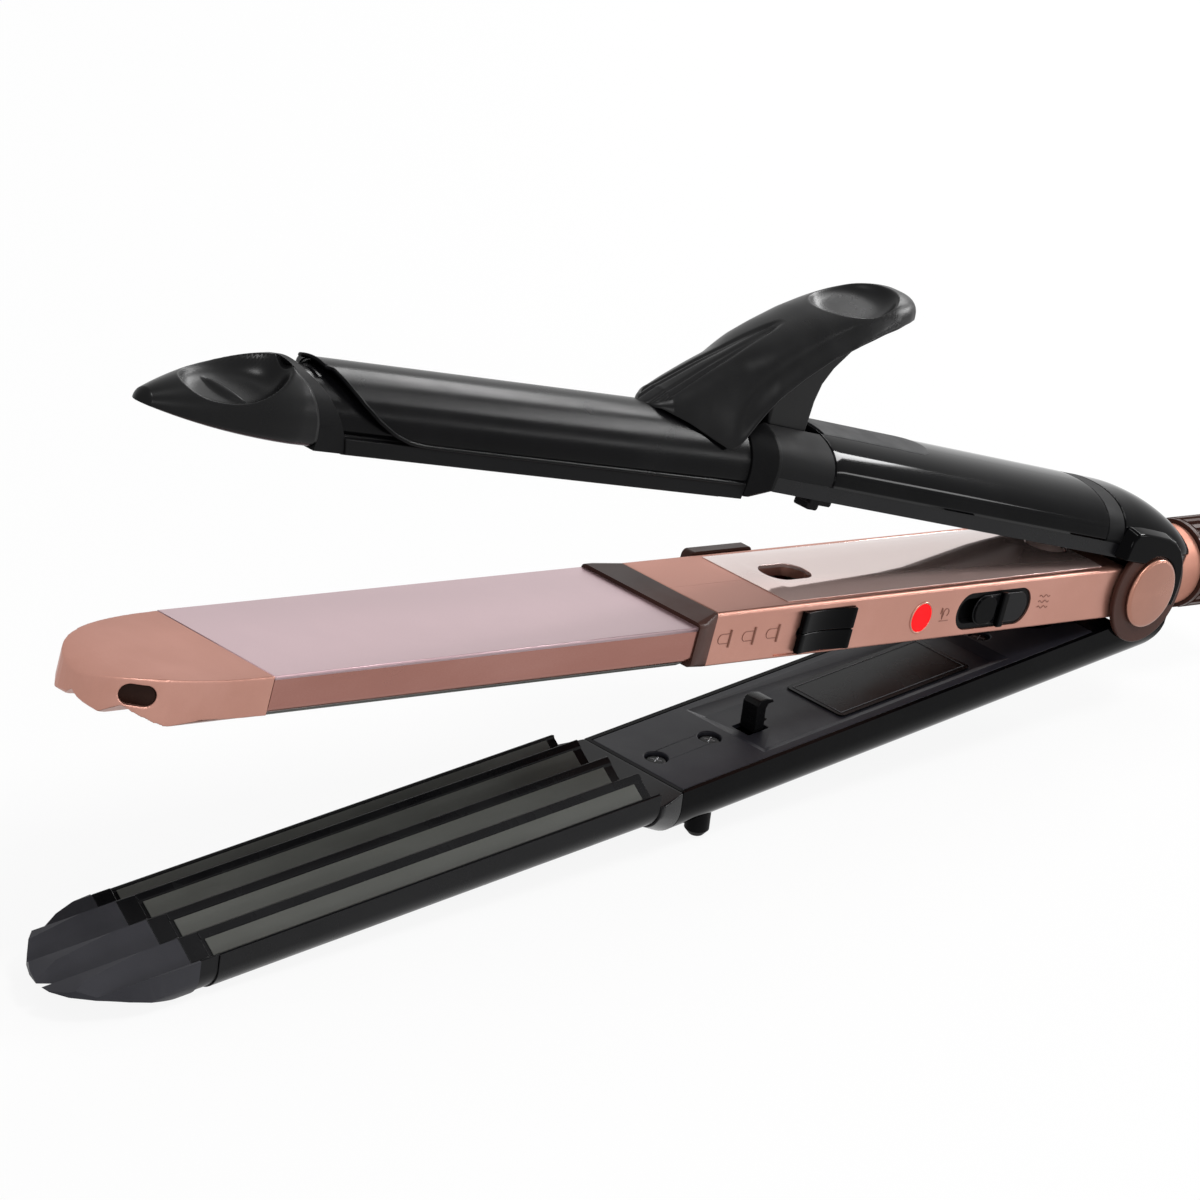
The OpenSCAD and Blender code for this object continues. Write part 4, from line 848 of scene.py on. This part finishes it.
# %% Lamp ring and symbols
LINE_Y = SIDE_Y - 0.02
HOOK_X = (-130.8, -123.8, -116.85)
HOOK_R, THIN, BAR = 0.95, 0.09, 0.24


def arc(x, z, r, start=0, end=360, n=40):
    """Points of an arc on the near side. A whole circle leaves out its last point."""
    turns = [math.radians(start + (end - start) * i / n) for i in range(n + (abs(end - start) < 360))]
    return [(x + r * math.cos(t), LINE_Y, z + r * math.sin(t)) for t in turns]


tube("lamp_ring", "middle", "middle_arm", "rose_paint", arc(-71.2, -0.5, 3.1), 0.2, True)
# The hooks, the curl and the waves are drawn in dark brown, which is painted shade of their relief.
for i, x in enumerate(HOOK_X):
    hook = [(x + 2.0, LINE_Y, 0.85)] + arc(x, -0.1, HOOK_R, 90, 270, 16) + [(x + 2.0, LINE_Y, -1.05)]
    tube("hold_mark.%d" % i, "middle", "middle_arm", "symbol_painted_shade", hook, THIN)
    tube("hold_bar.%d" % i, "middle", "middle_arm", "symbol_painted_shade",
         [(x + 2.4, LINE_Y, -1.9), (x + 2.4, LINE_Y, 1.6)], BAR)
lead_in = [(-65.3 + 0.75 * k / 12, LINE_Y, -0.2 + 1.2 * math.sin(k / 12 * math.pi * 1.4)) for k in range(13)]
tube("curl_mark", "middle", "middle_arm", "symbol_painted_shade", lead_in + arc(-63.6, 0.0, 0.8, 200, -60, 18), 0.1)
tube("curl_base", "middle", "middle_arm", "symbol_painted_shade", [(-65.2, LINE_Y, -1.7), (-62.5, LINE_Y, -1.7)], 0.1)
for i in range(3):
    z = 1.1 - 1.15 * i
    wavy = [(-34.4 + 3.3 * k / 24, LINE_Y, z + 0.25 * math.sin(k / 24 * math.pi * 4)) for k in range(25)]
    tube("wave_mark.%d" % i, "middle", "middle_arm", "symbol_painted_shade", wavy, THIN)
print("symbols:", len(HOOK_X), "hooks, a curl and three waves")

# %% [markdown]
# The function switch is a flat thumb piece with a round pad and one tall rib for the finger. Three
# plates at different heights are all that it needs. Their bevels give the moulded look.

# %% Function switch
SWITCH_Z = -0.4
RIB_X, RIB_HALF, RIB_PROUD = (-47.7, -45.9), 3.6, 1.25


def slot_line(x0, x1, z, r):
    """Outline of a slot with round ends, in x and z."""
    turns = [math.pi * k / 20 for k in range(21)]
    left = [(x0 + r - r * math.sin(t), z + r * math.cos(t)) for t in turns]
    return left + [(x1 - r + r * math.sin(t), z - r * math.cos(t)) for t in turns]


rib = [(RIB_X[0], SWITCH_Z - RIB_HALF), (RIB_X[1], SWITCH_Z - RIB_HALF),
       (RIB_X[1], SWITCH_Z + RIB_HALF), (RIB_X[0], SWITCH_Z + RIB_HALF)]
for tag, mat, outline, y0, y1, edge in (
        ("plate", "black_satin", slot_line(-55.0, -38.3, SWITCH_Z, 3.1), SIDE_Y - 0.15, SIDE_Y + 0.28, 0.25),
        ("pad", "piano_black", slot_line(-54.8, -47.9, SWITCH_Z, 2.95), SIDE_Y - 0.5, SIDE_Y, 0.3),
        ("rib", "piano_black", rib, SIDE_Y - RIB_PROUD, SIDE_Y - 0.1, 0.3)):
    piece("switch_thumb." + tag, "middle", "switch", mat, *slab_y(outline, y0, y1), ["switch_thumb"], edge)
print("switch rib stands", RIB_PROUD, "mm proud")

# %% [markdown]
# The hinge caps are turned on a lathe: a flat satin face inside a bevelled rim. A loft of circles from
# a half profile is the same thing as lathe work, and every radius of the profile can be read.

# %% Hinge caps
# Half profile as radius and distance from the centre plane
CAP = [(7.2, 14.33), (7.28, 14.5), (7.28, 14.95), (7.1, 15.2), (6.75, 15.38), (6.4, 15.42), (4.5, 15.5),
       (2.2, 15.55), (0.02, 15.57)]


def turned_y(profile, side):
    """Solid turned about the pin's axis."""
    turns = [2 * math.pi * k / 96 for k in range(96)]
    return loft([[(r * math.cos(t), side * y, r * math.sin(t)) for t in turns] for r, y in profile])


for side, tag in ((-1, "near"), (1, "far")):
    piece("hinge_cap." + tag, "pin", "middle_arm", "rose_spun", *turned_y(CAP, side), ["hinge_caps"])
print("cap radius:", CAP[1][0], "mm")

# %% [markdown]
# Three black screws hold the panel inside the lower handle. The head is turned as the caps are. A cross
# of two bright lines marks the recess, where the driver has worn the blacking off.

# %% Panel screws
SCREW_X, SCREW_Z = (-127.3, -112.6, -34.2), -7.48
SCREW_HEAD = [(2.1, 0), (2.1, 0.45), (1.95, 0.62), (1.6, 0.7), (0.9, 0.7), (0.02, 0.7)]
CROSS_R, CROSS_LINE = 1.15, 0.13

for i, x in enumerate(SCREW_X):
    turns = [2 * math.pi * k / 48 for k in range(48)]
    head = [[(x + r * math.cos(t), r * math.sin(t), SCREW_Z + h) for t in turns] for r, h in SCREW_HEAD]
    piece("screw_head.%d" % i, "lower", "lower_arm", "black_satin", *loft(head), ["lower_screws"])
    for turn in (25, 115):
        dx, dy = CROSS_R * math.cos(math.radians(turn)), CROSS_R * math.sin(math.radians(turn))
        tube("screw_cross.%d.%d" % (i, turn), "lower", "lower_arm", "steel",
             [(x - dx, -dy, SCREW_Z + 0.66), (x + dx, dy, SCREW_Z + 0.66)], CROSS_LINE)
print("screws:", len(SCREW_X))

# %% [markdown]
# The upper handle's rear end comes down over the hinge ring on both sides, close round the cap. It is
# a thin cheek with an arched inner edge. Its root is a little larger than its face, as a mould needs
# to release it, and a wide bevel rounds it into the handle.

# %% Handle shoulders
CHEEK = [(9.3, -2), (9.5, 0), (9.4, 2.5), (8.7, 5), (7.4, 7.6), (5.2, 9.8), (2.6, 11), (0, 11.4), (-4, 11.5),
         (-8.5, 11.5), (-11, 11.2), (-12.3, 9.6), (-12.5, 7), (-12.5, 5.4)]
CHEEK_ROOT_Y, CHEEK_FACE_Y = 12.1, 14.7
CAP_CLEAR_R = 7.55

cap_arc = [(CAP_CLEAR_R * math.cos(a), CAP_CLEAR_R * math.sin(a))
           for a in np.linspace(math.radians(134.3), math.radians(-12), 40)]
root = [(x - 1.5 if x < -10 else x, z + 0.9 if z > 10.5 else z) for x, z in CHEEK]
for side, tag in ((-1, "near"), (1, "far")):
    cheek = loft([[(x, side * CHEEK_ROOT_Y, z) for x, z in cap_arc + root],
                  [(x, side * CHEEK_FACE_Y, z) for x, z in cap_arc + CHEEK]])
    piece("handle_shoulder." + tag, "handle", "upper_arm", "piano_black", *cheek, (), 0.9)
print("cheek points:", len(cap_arc + CHEEK))

# %% [markdown]
# The lower arm's catch is a thin post with a barb at its top and a small rib, shown as one profile with
# a thickness. Behind the panel a small cover closes the handle's end, and a printed line frames the
# label plate. A tube is thicker than ink, but a line as thin as ink would vanish at this distance.

# %% Catch, rear cover and label line
POST = [(-102.0, -7.6), (-101.9, -1.9), (-101.2, -1.1), (-99.6, -1.0), (-97.6, -1.6), (-97.2, -2.3),
        (-98.7, -2.3), (-99.3, -3.1), (-99.3, -5.1), (-98.4, -5.6), (-99.3, -5.9), (-99.3, -7.6)]
COVER = [(-12.9, -8.2), (-12.9, -6.26), (-5.7, -6.26), (-5.7, -8.2)]
LABEL_X, LABEL_HALF, LABEL_Z = (-82.0, -46.0), 6.3, -7.03

piece("lower_hook.shaped", "lower", "lower_arm", "black_satin", *slab_y(POST, -1.9, 1.9),
      ["lower_hook"], 0.15)
piece("rear_cover", "lower", "lower_arm", "black_satin", *slab_y(COVER, -11.1, 11.1), (), 0.2)
corners = [(LABEL_X[0], -LABEL_HALF, LABEL_Z), (LABEL_X[1], -LABEL_HALF, LABEL_Z),
           (LABEL_X[1], LABEL_HALF, LABEL_Z), (LABEL_X[0], LABEL_HALF, LABEL_Z)]
tube("label_frame", "lower", "lower_arm", "pale_line", corners, 0.12, True)

# %% [markdown]
# A product studio is a pale sweep lit from all round. The floor and the world are white for the camera
# and in reflections, but light the object only as pale grey does. Turning the lamps up until the floor
# burns out would also burn out the pale paint, so the Light Path node decides by the kind of ray. The
# floor keeps a tenth of its own shading for the camera, which is the object's shadow.

# %% Floor and world
def seen_white(tree, output, own, white, share):
    """Camera, glossy and transmission rays see white by share, all others the surface's own shader."""
    path = add(tree, "LightPath")
    clamped = {"operation": "ADD", "use_clamp": True}
    seen = add(tree, "Math", clamped, i0=path.outputs["Is Camera Ray"], i1=path.outputs["Is Glossy Ray"])
    seen = add(tree, "Math", clamped, i0=seen.outputs[0], i1=path.outputs["Is Transmission Ray"])
    part = add(tree, "Math", {"operation": "MULTIPLY"}, i0=seen.outputs[0], i1=share)
    mix = add(tree, "MixShader", i0=part.outputs[0], i1=own.outputs[0], i2=white.outputs[0])
    tree.links.new(mix.outputs[0], output.inputs["Surface"])


WHITE = (1, 1, 1, 1)
bpy.ops.mesh.primitive_plane_add(size=30, location=(0, 0, -0.0002))
floor = bpy.context.object
floor.name = "floor"
# Matt paper, pale grey in its own light
paper = bpy.data.materials.new("pale studio floor")
paper.use_nodes = True
tree = paper.node_tree
tree.nodes.clear()
seen_white(tree, add(tree, "OutputMaterial"), add(tree, "BsdfDiffuse", Color=(0.86, 0.86, 0.86, 1)),
           add(tree, "Emission", Color=WHITE, Strength=1.0), 0.9)
floor.data.materials.append(paper)
floor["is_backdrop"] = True

world = bpy.data.worlds.new("studio")
bpy.context.scene.world = world
world.use_nodes = True
tree = world.node_tree
tree.nodes.clear()
seen_white(tree, add(tree, "OutputWorld"), add(tree, "Background", Color=WHITE, Strength=0.5),
           add(tree, "Background", Color=WHITE, Strength=1.0), 1.0)
print("floor and world are in")

# %% [markdown]
# Lamps draw the highlights. A black, polished form shows a lamp only where it mirrors it, so each lamp
# stands where a surface throws the camera's line of sight: a strip for the handle, a box for the
# clamp, one overhead for the tip and lever, and one low in front for the noses. They are small and
# bright rather than large, so that they add highlights and little general light.

# %% Lamps
# Name, place, aim, width and height in metres, watts
LAMPS = [
    ("rear strip", (1.11, -0.2, 0.485), (0.05, 0, 0.06), (0.46, 0.085), 5.0),
    ("rear box", (1.11, 0.35, 0.64), (-0.08, 0, 0.1), (0.45, 0.14), 4.2),
    ("low rear strip", (1.13, -0.74, 0.17), (0.05, 0, 0.05), (0.34, 0.05), 1.0),
    ("near overhead", (-0.09, -0.57, 1.28), (-0.05, 0, 0.06), (0.3, 0.3), 7.2),
    ("near low", (-0.18, -1.02, 0.32), (-0.12, 0, 0.1), (0.14, 0.14), 1.5),
]
for name, at, aim, size, watts in LAMPS:
    light = bpy.data.lights.new(name, "AREA")
    light.shape = "RECTANGLE"
    light.size, light.size_y = size
    light.energy = watts
    lamp = bpy.data.objects.new(name, light)
    bpy.context.scene.collection.objects.link(lamp)
    lamp.location = at
    lamp.rotation_euler = (Vector(aim) - Vector(at)).to_track_quat("-Z", "Y").to_euler()
bpy.context.scene.view_settings.view_transform = "Standard"
print("lamps:", [row[0] for row in LAMPS])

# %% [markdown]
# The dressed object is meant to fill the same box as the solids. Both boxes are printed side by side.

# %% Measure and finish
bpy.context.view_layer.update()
for title, box in (("solids", CAD_BOX), ("dressed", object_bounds())):
    print(title, [[round(x, 4) for x in v] for v in box])
